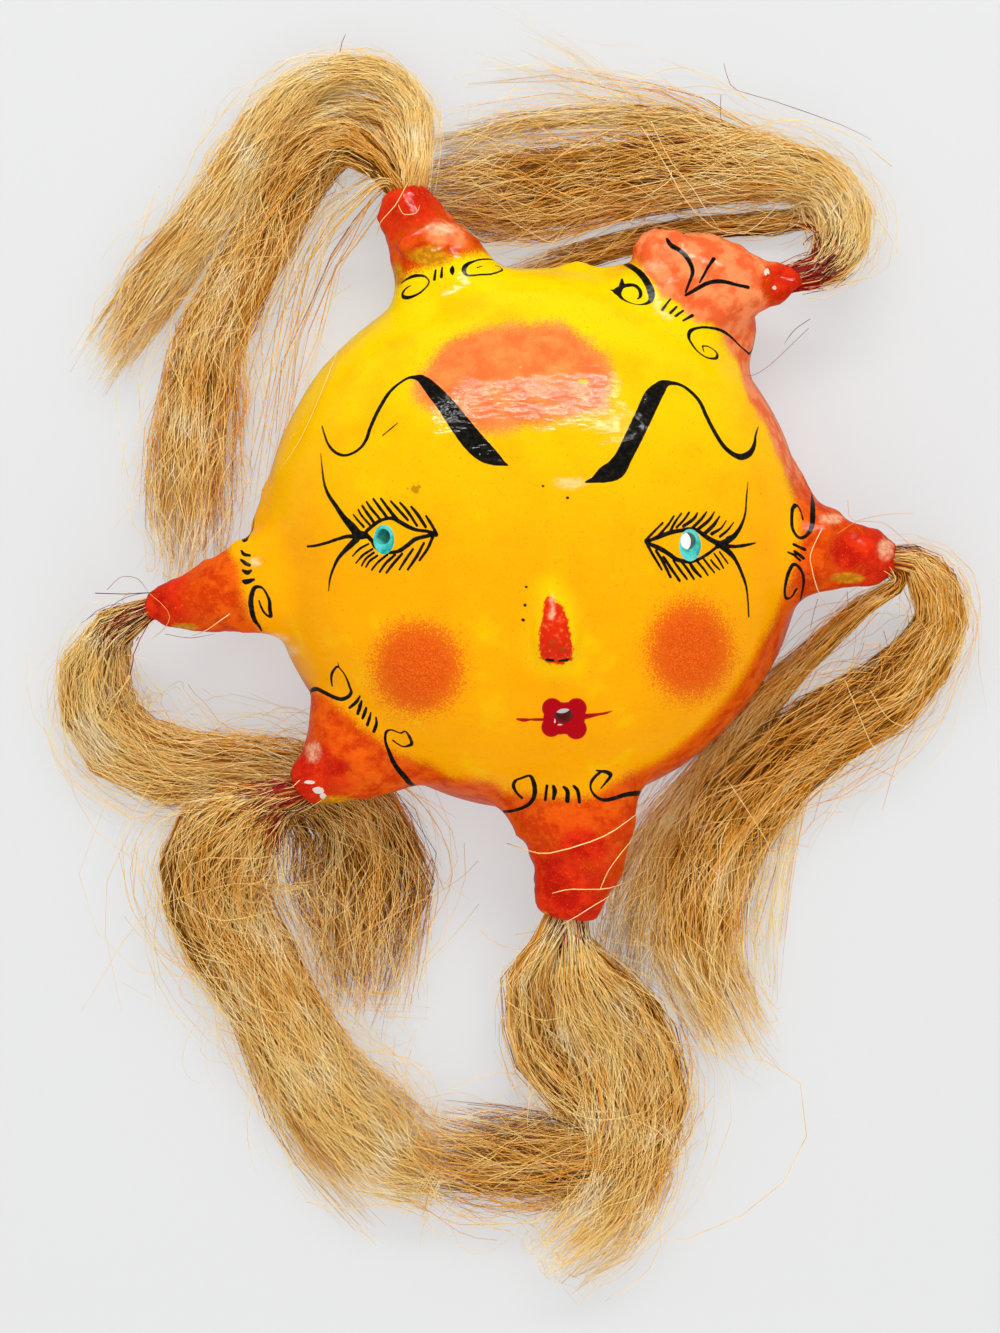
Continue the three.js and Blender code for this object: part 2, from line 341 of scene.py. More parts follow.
bm = bmesh.new()
turn_bowl(bm, SHELL_RADIUS - SHELL_WALL, SHELL_DEPTH - SHELL_WALL, -4, 24, 96)
hollow = bpy.data.objects.new("hollow", mesh_of(bm, "hollow"))
bm = bmesh.new()
for x, y, radius, lean in HOLES:
    r = math.hypot(x, y)
    slope = (shell_height(r + 0.01) - shell_height(r)) / 0.01
    outward = Vector((-slope * x / r * lean, -slope * y / r * lean, 1)).normalized()
    place = Matrix.Translation(Vector((x, y, shell_height(r))) - DRILL_START * outward)
    place = place @ outward.to_track_quat("Z", "Y").to_matrix().to_4x4()
    # The less a hole leans, the wider it is inside
    inside_radius = radius + max(1.2 - lean, HOLE_TAPER)
    bmesh.ops.create_cone(
        bm, cap_ends=True, segments=28, radius1=inside_radius, radius2=radius - HOLE_TAPER,
        depth=DRILL_LENGTH, matrix=place,
    )
drills = bpy.data.objects.new("drills", mesh_of(bm, "drills"))
for cutter in (hollow, drills):
    bpy.context.scene.collection.objects.link(cutter)
carved = finished(
    modelled,
    ("BOOLEAN", {"operation": "DIFFERENCE", "solver": "EXACT", "object": hollow}),
    ("BOOLEAN", {"operation": "DIFFERENCE", "solver": "EXACT", "object": drills}),
)
for cutter in (hollow, drills):
    bpy.data.objects.remove(cutter)

# Its paint: a yellow coat, sprayed orange from the rays inwards, and on it the fine black lines of a brush.
# The strokes are rows of x, y and half width, where one who looks from EYE sees them on the level of the rim.
EYE = Vector((-7.6, -29.1, 700))
STROKE_STEP = 0.12
FINEST_LINE = 0.18  # size of the faces along the edge of a stroke
HALVED_WITHIN = 0.55  # of a face's size: how near to an edge a face is made finer
FAR = 9  # stands for any distance too great to matter
CELL = 5  # of the grid in which strokes are looked up
CELL_REACH = 8  # from a cell's middle to the farthest dots that are looked at
FACE_LEVEL = 20  # the nose, lips and irises are painted higher than this
RIM_BAND = 1  # no fine faces so near the sawn rim
BRUSH_STROKES = [
    # left brow, from its thin outer end
    [(-48.5, 26.2, 0.13), (-48, 24.4, 0.19), (-47.2, 22.2, 0.23), (-45.9, 20.5, 0.28),
     (-44.3, 19.6, 0.28), (-42.8, 19.5, 0.26), (-41, 20.2, 0.28), (-39.4, 21.5, 0.34),
     (-38.3, 23.2, 0.41), (-37.5, 25.6, 0.43), (-36.2, 28.6, 0.47), (-34.7, 31.4, 0.47),
     (-33.2, 33.7, 0.43), (-31.3, 35.6, 0.32), (-29, 37.1, 0.3), (-27.3, 37.4, 0.47), (-25.6, 37, 0.9),
     (-23, 34.4, 1.49), (-19.9, 30.8, 1.81), (-16.6, 26.3, 2.13), (-13.7, 22.6, 2.26),
     (-11.1, 20.1, 2.05), (-8.8, 18.6, 1.32), (-7.1, 17.7, 0.56), (-5.9, 17.2, 0.13)],
    # right brow
    [(12.2, 13.3, 0.17), (14.4, 14, 0.77), (16.6, 15.1, 1.71), (19, 16.3, 2.11), (20.9, 19.2, 1.79),
     (23.3, 24, 1.86), (25.4, 28.4, 1.88), (27.4, 32.7, 1.88), (29.1, 34.9, 1.41), (30.2, 35.9, 0.9),
     (31.7, 36.1, 0.51), (33.8, 35.7, 0.38), (36.1, 34.2, 0.43), (38.3, 31.8, 0.49),
     (39.8, 28.6, 0.51), (41.7, 24.9, 0.53), (43.9, 21.5, 0.56), (46.2, 19.6, 0.6), (48, 19.1, 0.68),
     (49.9, 20, 0.64), (50.9, 21.9, 0.51), (51.2, 24.1, 0.26), (51.8, 26, 0.09)],
    # left eye's lids
    [(-38.3, 2, 0.38), (-37.2, 3, 0.38), (-35.6, 4.2, 0.36), (-33.7, 4.9, 0.32), (-32.1, 4.9, 0.38),
     (-30.2, 3.9, 0.43), (-28.6, 3, 0.41), (-26.7, 2.3, 0.34), (-23.9, 1.9, 0.32), (-22.3, 1.2, 0.47)],
    [(-38.6, 1.3, 0.53), (-37.2, 0, 0.43), (-36.4, -1.4, 0.38), (-35.2, -2.5, 0.21),
     (-33.4, -2.9, 0.28), (-31, -2.6, 0.38), (-29.1, -1.4, 0.43), (-27.2, 0.1, 0.43),
     (-25.3, 0.7, 0.38), (-23.4, 1.1, 0.34), (-22.3, 1.3, 0.38)],
    # the three long strokes at its outer corner
    [(-48.8, 19.8, 0.06), (-48.5, 16.5, 0.19), (-48, 13, 0.28), (-47, 10.3, 0.38), (-45.4, 7.9, 0.47),
     (-43.5, 5.1, 0.62), (-41.6, 3, 0.9), (-40.2, 1.3, 0.98), (-38.6, 1.1, 0.75)],
    [(-51.9, -1.5, 0.19), (-50, -1.3, 0.26), (-47.6, -0.7, 0.28), (-44.9, 0.2, 0.32),
     (-42.7, 0.8, 0.38), (-40.5, 0.8, 0.43)],
    [(-40.5, 0.2, 0.73), (-41.9, -1.1, 0.64), (-43.5, -2.7, 0.47), (-44.9, -4.4, 0.38),
     (-45.9, -6.5, 0.3), (-46.7, -9, 0.23), (-47, -11.7, 0.09)],
    # right eye's lids
    [(26.2, -0.4, 0.26), (28.6, 0.6, 0.43), (31.6, 1.7, 0.43), (34.2, 2.2, 0.38), (36.1, 2.6, 0.32),
     (37.9, 2.1, 0.38), (39.8, 0.7, 0.47), (42.1, -0.6, 0.53), (43.2, -0.9, 0.64)],
    [(26.3, -0.7, 0.3), (29, -1.9, 0.47), (31.2, -3.2, 0.43), (33.1, -4.5, 0.43), (35.7, -5, 0.38),
     (37.9, -4.5, 0.32), (40.2, -3.2, 0.32), (42.4, -1.5, 0.32), (43.2, -1.1, 0.43)],
    # the three long strokes at its outer corner
    [(42.4, -1.3, 0.64), (44.7, -0.2, 0.66), (46.6, 1.3, 0.56), (48, 3.6, 0.38), (48.8, 6.2, 0.26),
     (49.1, 9.9, 0.19), (49.4, 13.3, 0.06)],
    [(42.8, -1.3, 0.43), (46.2, -1.5, 0.34), (48.8, -1.2, 0.32), (51.2, -0.7, 0.11)],
    [(43.2, -1.5, 0.47), (45.1, -2.8, 0.6), (46.6, -4.7, 0.43), (48, -7.7, 0.38), (49, -10.7, 0.3),
     (49.4, -14, 0.23), (49.6, -17.6, 0.21)],
    # scrolls and ticks at the root of the upper left ray
    [(-30.3, 59.1, 0.09), (-29.1, 59.9, 0.19), (-27.7, 60.6, 0.3), (-26.3, 60.8, 0.28),
     (-24.9, 60.6, 0.19), (-24, 59.7, 0.15), (-24, 59, 0.15), (-24.7, 58, 0.15), (-25.9, 56.9, 0.19),
     (-27.4, 56.1, 0.26), (-28.8, 55.7, 0.36), (-29.8, 55.9, 0.43), (-30, 56.6, 0.38),
     (-29.5, 57.5, 0.19), (-28.8, 58.1, 0.11), (-28.1, 58.5, 0.06)],
    [(-7.1, 63.9, 0.06), (-9.6, 64.5, 0.15), (-11.9, 64.5, 0.17), (-13.8, 64, 0.21),
     (-15.2, 63.3, 0.38), (-15.9, 62.2, 0.51), (-15.4, 61.1, 0.28), (-14.2, 60.8, 0.19),
     (-12, 61, 0.19), (-9.8, 61.1, 0.21), (-7.8, 61.7, 0.19), (-7.1, 62.1, 0.21), (-7.6, 62.7, 0.17),
     (-8.7, 63.1, 0.06)],
    [(-11.7, 63, 0.06), (-12.8, 62.6, 0.13)], [(-22.4, 62, 0.19), (-22.7, 59.9, 0.28)],
    [(-20.9, 62.6, 0.17), (-21.1, 60.5, 0.3)], [(-18.5, 63, 0.11), (-18.6, 62, 0.51), (-18.5, 61, 0.11)],
    # upper right ray
    [(17.6, 64.1, 0.11), (19.6, 63.9, 0.43), (21.6, 63.3, 0.49), (23.4, 62.3, 0.58),
     (25.1, 60.8, 0.66), (26.4, 58.9, 0.73), (27.2, 56.8, 0.75), (27.1, 55.2, 0.51), (26.1, 54.4, 0.3),
     (24.4, 54.1, 0.11), (22.4, 54.5, 0.15), (20.6, 55.4, 0.34), (19.8, 56.3, 0.53),
     (19.4, 57.2, 0.94), (20.6, 58.3, 0.73), (22.9, 58.6, 0.38), (24.1, 58, 0.32), (24.7, 56.9, 0.36),
     (24.6, 55.9, 0.3), (24, 55.4, 0.11)],
    [(17.8, 57.5, 0.09), (19.3, 57.2, 0.85)], [(20.4, 60, 0.21), (20.4, 58.4, 0.64)],
    [(31.6, 55.4, 0.13), (29.7, 52.9, 0.28)], [(33, 53.6, 0.21), (31.6, 52.2, 0.28)],
    [(34.5, 52.7, 0.23), (32.8, 51.5, 0.28)], [(36.6, 51.6, 0.34), (34.5, 50.4, 0.17)],
    [(39.3, 43.3, 0.11), (39, 44.5, 0.19), (40.1, 44.5, 0.13), (41.3, 43.9, 0.13), (42.3, 42.9, 0.32),
     (42.2, 41.9, 0.34), (41.1, 41.7, 0.26), (39.6, 42.1, 0.26), (37.8, 43.4, 0.28),
     (36.5, 45.1, 0.32), (35.8, 46.6, 0.38), (36.1, 47.9, 0.41), (37.3, 48.6, 0.28),
     (39.3, 48.9, 0.23), (41.8, 48.6, 0.26), (43.8, 47.9, 0.28), (45.8, 46.4, 0.19),
     (47.6, 44.6, 0.15), (49.1, 43.3, 0.19), (49.8, 42.9, 0.3), (50.6, 44.4, 0.21), (51, 46.9, 0.09)],
    # three leaf strokes on it
    [(30.8, 69.2, 0.26), (31.7, 67.8, 0.56), (33.4, 66.8, 0.51), (35.1, 65.3, 0.47),
     (36.3, 63.3, 0.43), (36.7, 61.6, 0.38), (36.3, 60.1, 0.3), (35.7, 58.6, 0.26), (35.1, 57, 0.19)],
    [(41.6, 64.7, 0.41), (40.3, 62.8, 0.28), (39.1, 60.6, 0.26), (38.3, 59.2, 0.17)],
    [(35.1, 56.3, 0.26), (36.6, 57.1, 0.36), (38.6, 58.3, 0.43), (40.3, 59.1, 0.43),
     (42.6, 59.5, 0.43), (44.8, 59.2, 0.36), (47.1, 58.6, 0.32), (49.5, 58.1, 0.36)],
    # right ray
    [(62, 4.7, 0.19), (61.8, 5.8, 0.17), (61.2, 7.3, 0.19), (60.4, 8, 0.43), (59.6, 6.9, 0.43),
     (59.5, 4.8, 0.38), (59.6, 2.9, 0.36), (60.4, 1.2, 0.28), (61.4, 0.5, 0.3), (62.5, 0.8, 0.34),
     (63.7, 2.1, 0.43), (64.2, 3.9, 0.49), (64.3, 6.2, 0.56), (64.3, 8.6, 0.47), (64.1, 10.5, 0.17)],
    [(59.9, -1, 0.26), (62.5, -2.2, 0.32)], [(58.6, -2.8, 0.17), (60.2, -3.5, 0.26)],
    [(60.1, -2.6, 0.26), (62.2, -4.2, 0.34)], [(60, -3.4, 0.23), (61.4, -4.7, 0.21)],
    [(60.5, -11.4, 0.38), (59.6, -12.9, 0.32), (58.7, -13.5, 0.3), (58, -13.1, 0.32),
     (57.9, -11.4, 0.38), (58.2, -9.5, 0.43), (58.7, -7.6, 0.45), (59.6, -5.9, 0.41),
     (60.4, -5.7, 0.3), (61.4, -6.6, 0.26), (62.1, -8.2, 0.28), (62.2, -10.1, 0.26),
     (61.8, -12.3, 0.23), (61.4, -14.3, 0.19), (60.9, -16, 0.21)],
    # left ray
    [(-63.8, 6.9, 0.09), (-64.1, 5.4, 0.17), (-64.3, 3.6, 0.23), (-64.6, 2.1, 0.26),
     (-65.5, 0.8, 0.34), (-66.2, -0.3, 0.38), (-66.6, 0.4, 0.32), (-66.5, 1.9, 0.26),
     (-66.1, 3.3, 0.17), (-65.5, 4.2, 0.11), (-64.5, 5.7, 0.06)],
    [(-67.1, -2.4, 0.17), (-66.4, -3.3, 0.38), (-65.2, -3.6, 0.34)],
    [(-67.2, -4.5, 0.19), (-66.2, -5.3, 0.43), (-65.2, -5.8, 0.34)],
    [(-66.7, -7, 0.26), (-65.7, -7.5, 0.51), (-64.9, -7.1, 0.3)],
    [(-66.7, -9.4, 0.26), (-65.9, -9.6, 0.56), (-64.2, -9.1, 0.26)],
    [(-63, -14, 0.13), (-62.5, -15.4, 0.19), (-61.9, -16.6, 0.23), (-60.9, -17.5, 0.28),
     (-60.3, -17.5, 0.38), (-60.5, -16, 0.38), (-60.6, -14.1, 0.34), (-61.1, -12.8, 0.23),
     (-61.9, -11.4, 0.19), (-62.8, -10.8, 0.28), (-64, -11, 0.43), (-64.7, -12.6, 0.51),
     (-64.9, -14.5, 0.58), (-64.6, -16.6, 0.58), (-64, -18.5, 0.47), (-63, -19.8, 0.28),
     (-62.4, -21, 0.17)],
    # lower left ray
    [(-46.2, -33.5, 0.21), (-46.4, -32, 0.32), (-46.2, -30.6, 0.32), (-45.4, -29.4, 0.23),
     (-44.8, -29.2, 0.21), (-43.7, -30.4, 0.23), (-42.8, -32, 0.3), (-42.2, -33.7, 0.38),
     (-41.8, -35, 0.38), (-42.6, -36.1, 0.38), (-44.1, -36.6, 0.43), (-45.9, -36.1, 0.43),
     (-47.9, -35.1, 0.43), (-49.6, -34.3, 0.45), (-50.9, -34.6, 0.43), (-51.6, -35.9, 0.32)],
    [(-44.9, -28.1, 0.05), (-44.6, -29.2, 0.13)],
    [(-39.8, -35.9, 0.17), (-40.6, -37.2, 0.34), (-42.2, -38.6, 0.26)],
    [(-39.4, -37, 0.21), (-39.8, -38.3, 0.43), (-40.3, -39.9, 0.34)],
    [(-38.3, -38.6, 0.21), (-38.7, -39.7, 0.38), (-39.2, -41, 0.26)],
    [(-37.3, -39.7, 0.13), (-37.6, -41, 0.3), (-38.1, -42.5, 0.32)],
    [(-36.1, -40.8, 0.17), (-36, -42.3, 0.32), (-36.6, -44, 0.36)],
    [(-32.2, -46.1, 0.17), (-31.1, -46.9, 0.15), (-29.8, -47.5, 0.19), (-28.3, -47.2, 0.36),
     (-27.9, -46.6, 0.38), (-28.5, -45.1, 0.36), (-29.4, -44, 0.21), (-30.5, -44.4, 0.17),
     (-32.5, -43.7, 0.19), (-33.6, -44, 0.26), (-34, -45.1, 0.26), (-33.8, -46.9, 0.26),
     (-33.1, -48.7, 0.36), (-32.2, -50.9, 0.45), (-30.9, -52.9, 0.49), (-29.4, -54.6, 0.56),
     (-28.1, -56.1, 0.49), (-26.3, -56.9, 0.17)],
    # bottom ray
    [(-2.6, -59.3, 0.32), (-3.8, -58.1, 0.34), (-4.5, -56.6, 0.36), (-4, -55.3, 0.34),
     (-2.5, -54.7, 0.34), (-0.8, -54.2, 0.38), (0, -55.3, 0.43), (0.4, -57.3, 0.49),
     (0.2, -59.1, 0.45), (-0.8, -60.6, 0.36), (-2.5, -61.6, 0.32), (-4.8, -62.3, 0.32),
     (-7.3, -62.6, 0.28), (-7.9, -63.1, 0.19), (-7.3, -64.6, 0.15), (-6, -66.1, 0.09)],
    [(3.2, -56.5, 0.3), (2.8, -59.8, 0.26)], [(4.7, -56.6, 0.32), (5, -57.8, 0.47), (4.7, -59.5, 0.3)],
    [(7.1, -56.8, 0.3), (7.9, -57.8, 0.43), (7.9, -60, 0.47)],
    [(9.4, -56.6, 0.3), (10.3, -57.8, 0.36), (10.7, -60.3, 0.34)],
    [(15.6, -57.1, 0.09), (16.7, -55.8, 0.26), (17.8, -54.3, 0.41), (17.4, -53.6, 0.47),
     (16.2, -53.2, 0.43), (15.2, -53.6, 0.41), (13.7, -55.1, 0.36), (13.2, -56.6, 0.23),
     (13.7, -58.1, 0.21), (14.9, -59.3, 0.28), (16.7, -59.8, 0.36), (18.9, -59.3, 0.41),
     (21.2, -58.6, 0.47), (23.4, -58.3, 0.53), (25.1, -58.3, 0.51), (26.4, -59.3, 0.43),
     (26.6, -60.2, 0.38), (26.2, -60.8, 0.17)],
    [(16.2, -53.2, 0.34), (14.7, -53, 0.21)],
    # left eye's upper lashes
    [(-41.3, 5.8, 0.14), (-40.2, 4.4, 0.23), (-38.9, 3, 0.25)],
    [(-40.2, 7, 0.14), (-39.4, 5.6, 0.23), (-37.6, 3.5, 0.23)],
    [(-39.3, 7.9, 0.18), (-38.3, 6.4, 0.3), (-36.5, 3.9, 0.3)],
    [(-38.3, 8.8, 0.16), (-37.3, 7.3, 0.28), (-35.3, 4.9, 0.25)],
    [(-36.7, 9.4, 0.21), (-35.4, 7.6, 0.3), (-33.6, 5.2, 0.3)],
    [(-35, 9.5, 0.21), (-33.3, 7.2, 0.32), (-31.4, 4.8, 0.37)],
    [(-32.7, 8.9, 0.18), (-30.8, 6.8, 0.3), (-28.8, 4.6, 0.25)],
    [(-30.6, 8.6, 0.18), (-28.8, 6.5, 0.28), (-26.7, 3.3, 0.25)],
    [(-28, 7.6, 0.21), (-26.5, 5.8, 0.34), (-24.7, 3, 0.28)],
    [(-24.6, 5.5, 0.21), (-23.5, 3.8, 0.28), (-22.2, 1.4, 0.32)],
    # left eye's lower lashes
    [(-37.8, -0.9, 0.18), (-39.8, -2, 0.23), (-41.5, -3.7, 0.14)],
    [(-36.9, -2.1, 0.21), (-39.1, -3.5, 0.25), (-40.7, -5.3, 0.16)],
    [(-36.6, -2.9, 0.21), (-38.4, -4.3, 0.23), (-39.4, -5.9, 0.16)],
    [(-35.8, -3.6, 0.21), (-37.5, -4.8, 0.23), (-38.4, -6.2, 0.18)],
    [(-33.5, -3.4, 0.21), (-35.6, -5.1, 0.23), (-37.1, -6.9, 0.16)],
    [(-31.7, -3.4, 0.23), (-33.8, -5.3, 0.28), (-35.3, -7.4, 0.18)],
    [(-30.1, -3.2, 0.25), (-32, -5.3, 0.3), (-33.7, -7.5, 0.23)],
    [(-27.6, -2.1, 0.21), (-29.2, -4.4, 0.28), (-30.7, -6.8, 0.18)],
    [(-25.1, -0.7, 0.23), (-26.7, -3.7, 0.32), (-28.8, -6.8, 0.21)],
    [(-23, 0.8, 0.3), (-24.2, -1.9, 0.3), (-26.1, -4.7, 0.21)],
    # right eye's upper lashes
    [(29.8, 3.9, 0.21), (27.8, 1.9, 0.25), (25.9, -0.1, 0.28)],
    [(32.4, 5.5, 0.18), (31, 3.4, 0.23), (29, 1.2, 0.23)],
    [(34.1, 6.1, 0.18), (32.6, 4, 0.25), (31.5, 1.9, 0.28)],
    [(35.9, 6.3, 0.21), (34.7, 4.6, 0.23), (33, 2.9, 0.23)],
    [(37.8, 6.2, 0.16), (36.9, 4.8, 0.32), (34.6, 3.2, 0.34)],
    [(39.9, 6.4, 0.16), (38.6, 4.7, 0.3), (36.8, 2.9, 0.32)],
    [(41.7, 6.4, 0.14), (40.4, 4.5, 0.32), (37.9, 2.4, 0.34)],
    [(42.9, 5.4, 0.16), (41.5, 3.4, 0.39), (39.6, 1.6, 0.41)],
    [(44.4, 4.4, 0.11), (43.2, 2.7, 0.23), (41.1, 1.4, 0.37)],
    [(46.1, 4, 0.11), (44.8, 2.3, 0.23), (43, 0.8, 0.28)],
    [(47.1, 2.5, 0.11), (46, 1.1, 0.28), (44.6, 0.4, 0.32)],
    # right eye's lower lashes
    [(25.9, -0.4, 0.28), (27.3, -3, 0.28), (29.6, -6.8, 0.21)],
    [(28.3, -2.5, 0.25), (29.9, -5.1, 0.3), (31.6, -8.5, 0.28)],
    [(30, -3.9, 0.25), (31.7, -6.5, 0.3), (33.7, -9.4, 0.25)],
    [(32.3, -4.8, 0.21), (33.8, -6.9, 0.28), (35.4, -9, 0.21)],
    [(34.1, -5, 0.25), (35.6, -6.9, 0.3), (37, -9, 0.21)],
    [(36, -5.2, 0.3), (37.1, -6.9, 0.39), (38.6, -8.5, 0.21)],
    [(37.8, -5, 0.23), (39.1, -6.5, 0.25), (40.2, -8.1, 0.16)],
    [(39.2, -4.3, 0.21), (40.4, -5.9, 0.23), (41.7, -7.5, 0.16)],
    [(40.9, -4.6, 0.18), (41.8, -5.8, 0.21), (42.9, -6.8, 0.16)],
    [(41.6, -3.1, 0.18), (42.7, -4.6, 0.23), (43.8, -6.5, 0.16)],
    [(42.9, -2.8, 0.18), (43.8, -4, 0.21), (44.8, -5.4, 0.14)],
    # a scratch over the left eye, pin holes and the nostrils
    [(-34.6, 24, 0.08), (-32.9, 25.4, 0.12), (-31.1, 26.9, 0.08)], [(-1.9, -15, 0.3), (-1.8, -15, 0.3)],
    [(-2.3, -18.4, 0.3), (-2.2, -18.4, 0.3)], [(-1.6, -10.8, 0.22), (-1.5, -10.8, 0.22)],
    [(2.2, 12.4, 0.2), (2.3, 12.4, 0.2)], [(7.9, 9.7, 0.26), (8, 9.7, 0.26)],
    [(3.2, -27.6, 0.4), (4.4, -27.7, 0.45)], [(6.1, -27.8, 0.35), (7.9, -27.6, 0.45)],
]
# The lips are round lobes as x, y and radius, and red strokes
LIP_LOBES = [
    (4.4, -38.7, 2.35), (10, -38.7, 2.35), (4.2, -43, 2.3), (9.9, -43.4, 2.45), (6.1, -41, 3.75),
    (8.2, -41, 3.75),
]
LIPS = [
    [(-3.6, -41.2, 0.28), (-2.1, -41.4, 0.49), (-0.6, -41.3, 0.28), (0.6, -41.3, 0.38), (3.2, -41.3, 0.38)],
    [(11.2, -40.7, 0.85), (13.3, -40.4, 0.6), (15, -40.1, 0.38), (16.8, -39.8, 0.32), (18.2, -39.3, 0.09)],
]
# Irises, cheeks and a yellow fleck on the forehead as x, y, half width and half height
IRISES = [(-34.3, 0.1, 2.4, 3.4), (36.1, -1.2, 2.5, 3.7)]
CHEEKS = [(-26.5, -29.4, 10.4, 10.6), (36.1, -25.3, 9.8, 11.4)]
FLECK = (11.5, 36.5, 0.9, 0.7)
NOSE_PATCH = [
    (3.3, -11.8), (4.9, -13.8), (7.4, -16), (8.2, -20), (9.1, -24.5), (8.8, -27.6), (6.6, -28.6), (4, -28.4),
    (1.8, -27.2), (1.4, -23), (2.1, -18), (2.7, -14.5),
]
# Places with a tint, as x, y, half width and half height: mustard patches, lumps of redder paint,
# painted highlights, coral patches, smears of dirt, and chips down to the white ground
PLACES = {
    "mustard": [
        (-24, 65.4, 5.5, 2.6), (-31.5, 61, 2.4, 2.6), (6, -25, 1.8, 2), (-44.6, -60.4, 5.2, 1.9),
        (72.2, -8.8, 4, 1.4), (-80.2, -20.3, 3.4, 1.2), (2.1, -86.5, 1.6, 1.2),
    ],
    "redder": [
        (-50.1, -50, 3.4, 3.4), (-45, -52.2, 3, 2), (72.2, -2.5, 3.8, 3.2), (-87.7, -15.1, 2.4, 2.8),
        (51.7, 62.4, 2.3, 2.8), (48.7, 51.7, 2.5, 2), (12, -70, 5, 3), (4, -77, 4, 4), (7, -84, 4, 4),
    ],
    # painted highlights on the nose, the rays and the rim of the face
    "pale": [
        (8.5, 13.1, 4.2, 1.3), (4.4, -15.4, 1, 3.4), (68.5, 4.9, 3.2, 1.3), (81.1, -2.1, 2, 2.8),
        (-50.5, -48.7, 2, 2.6), (-21, 71.5, 4, 1.6),
        (-59.2, -23, 3.3, 1.6), (-56.6, -25.5, 3, 1.5), (28, 63, 3, 1.6),
    ],
    "coral": [(-21, 73, 7, 6), (-30, 78, 5, 5), (76, 0, 7, 2)],
    "dirt": [(-27.3, 11.8, 1.5, 1.3), (-28.4, 9.8, 0.8, 0.6), (6.5, -25.2, 0.9, 0.8), (4.4, -23.7, 0.7, 0.8)],
    "chips": [
        (-51.4, -55.7, 1.3, 0.5), (-49.4, -57.6, 1.5, 0.9), (-48.3, -58.9, 0.8, 0.7), (53.8, 61.6, 0.7, 0.9),
        (5, -41.6, 0.22, 0.6), (6.2, -42.5, 0.7, 0.2), (55.5, 58, 0.6, 0.5), (11.6, -89.6, 1.2, 0.5),
    ],
}
FOREHEAD = [
    (-25.8, 38.4), (-20.6, 45.8), (-12.9, 48.9), (-2.1, 50.1), (7.1, 50.1), (13.3, 45.8), (17.3, 42.1),
    (18.8, 37.5), (17.9, 33.2), (17.3, 29.8), (10.2, 28.2), (2.5, 26.4), (-5.2, 25.2), (-12.3, 24.2),
    (-19, 28), (-26, 31), (-27.5, 35),
]
# How far from its tip each ray is red
RED_REACH = {"upper_left": 22, "upper_right": 10, "right": 30, "bottom": 36, "lower_left": 20, "left": 24}
# How near the axis of the shell the orange spray comes, by the angle round it in degrees
SPRAY_ANGLES = [
    -180, -174, -164, -158, -150, -142, -136, -129, -122, -115, -108, -100, -97, -86, -77, -68, -63, -53, -41,
    -25, -13, 3, 14, 27, 32, 40, 47, 53, 62, 65, 70, 80, 90, 98, 105, 111, 118, 125, 135, 160, 170, 180,
]
SPRAY_REACH = [
    67, 63.5, 63, 61, 60, 55.6, 54.5, 54, 54.5, 53, 54, 52.8, 54.5, 55.5, 56.5, 54.2, 54.8, 54, 53.5,
    52.8, 54.3, 56.3, 55.2, 55, 54, 58, 59.8, 57.7, 58.3, 60, 62.4, 63, 63, 62, 61, 61.3, 61.5, 62, 63, 63,
    66, 67,
]


def stroke_dots(line, surface):
    """A stroke as close dots of x, y, z and radius, on the surface where the eye sees them"""
    flat = smooth_line(line, 12) if len(line) > 2 else np.linspace(line[0], line[-1], 30)
    along = np.concatenate([[0], np.cumsum(np.hypot(*np.diff(flat[:, :2], axis=0).T))])
    places = np.linspace(0, along[-1], max(2, int(along[-1] / STROKE_STEP)))
    dots = []
    for x, y, half in zip(*(np.interp(places, along, flat[:, i]) for i in range(3))):
        met = surface.ray_cast(EYE, (Vector((x, y, 0)) - EYE).normalized())[0]
        if met:
            dots.append((*met, half))
    return dots


def reach_to(points, dots):
    """How far each point is from the edge of the nearest dot, below 0 inside it, or FAR"""
    best = np.full(len(points), float(FAR))
    cells, cell_of = np.unique(np.floor(points / CELL), axis=0, return_inverse=True)
    order = np.argsort(cell_of.ravel())
    for cell, some in zip(cells, np.split(order, np.cumsum(np.bincount(cell_of.ravel()))[:-1])):
        close = dots[(np.abs(dots[:, :3] - cell * CELL - CELL / 2) < CELL_REACH).all(axis=1)]
        if len(close):
            gap = np.linalg.norm(points[some, None] - close[None, :, :3], axis=2)
            best[some] = (gap - close[:, 3]).min(axis=1)
    return best


def seen(points):
    """Where the eye sees the points on the level of the rim"""
    eye = np.array(EYE)
    return eye[:2] + (points[:, :2] - eye[:2]) * (eye[2] / (eye[2] - points[:, 2:]))


def oval(flat, x, y, wide, high):
    """0 in the middle of an oval, 1 on its edge"""
    return np.hypot((flat[:, 0] - x) / wide, (flat[:, 1] - y) / high)


def smoothstep(value, low, high):
    """0 up to `low`, 1 from `high` on, and a soft rise between them"""
    t = np.clip((value - low) / (high - low), 0, 1)
    return t * t * (3 - 2 * t)


def lobes_edge(flat):
    """Each point's distance to the edge of the lips' lobes, below 0 inside them"""
    return np.min([np.hypot(flat[:, 0] - x, flat[:, 1] - y) - radius for x, y, radius in LIP_LOBES], axis=0)


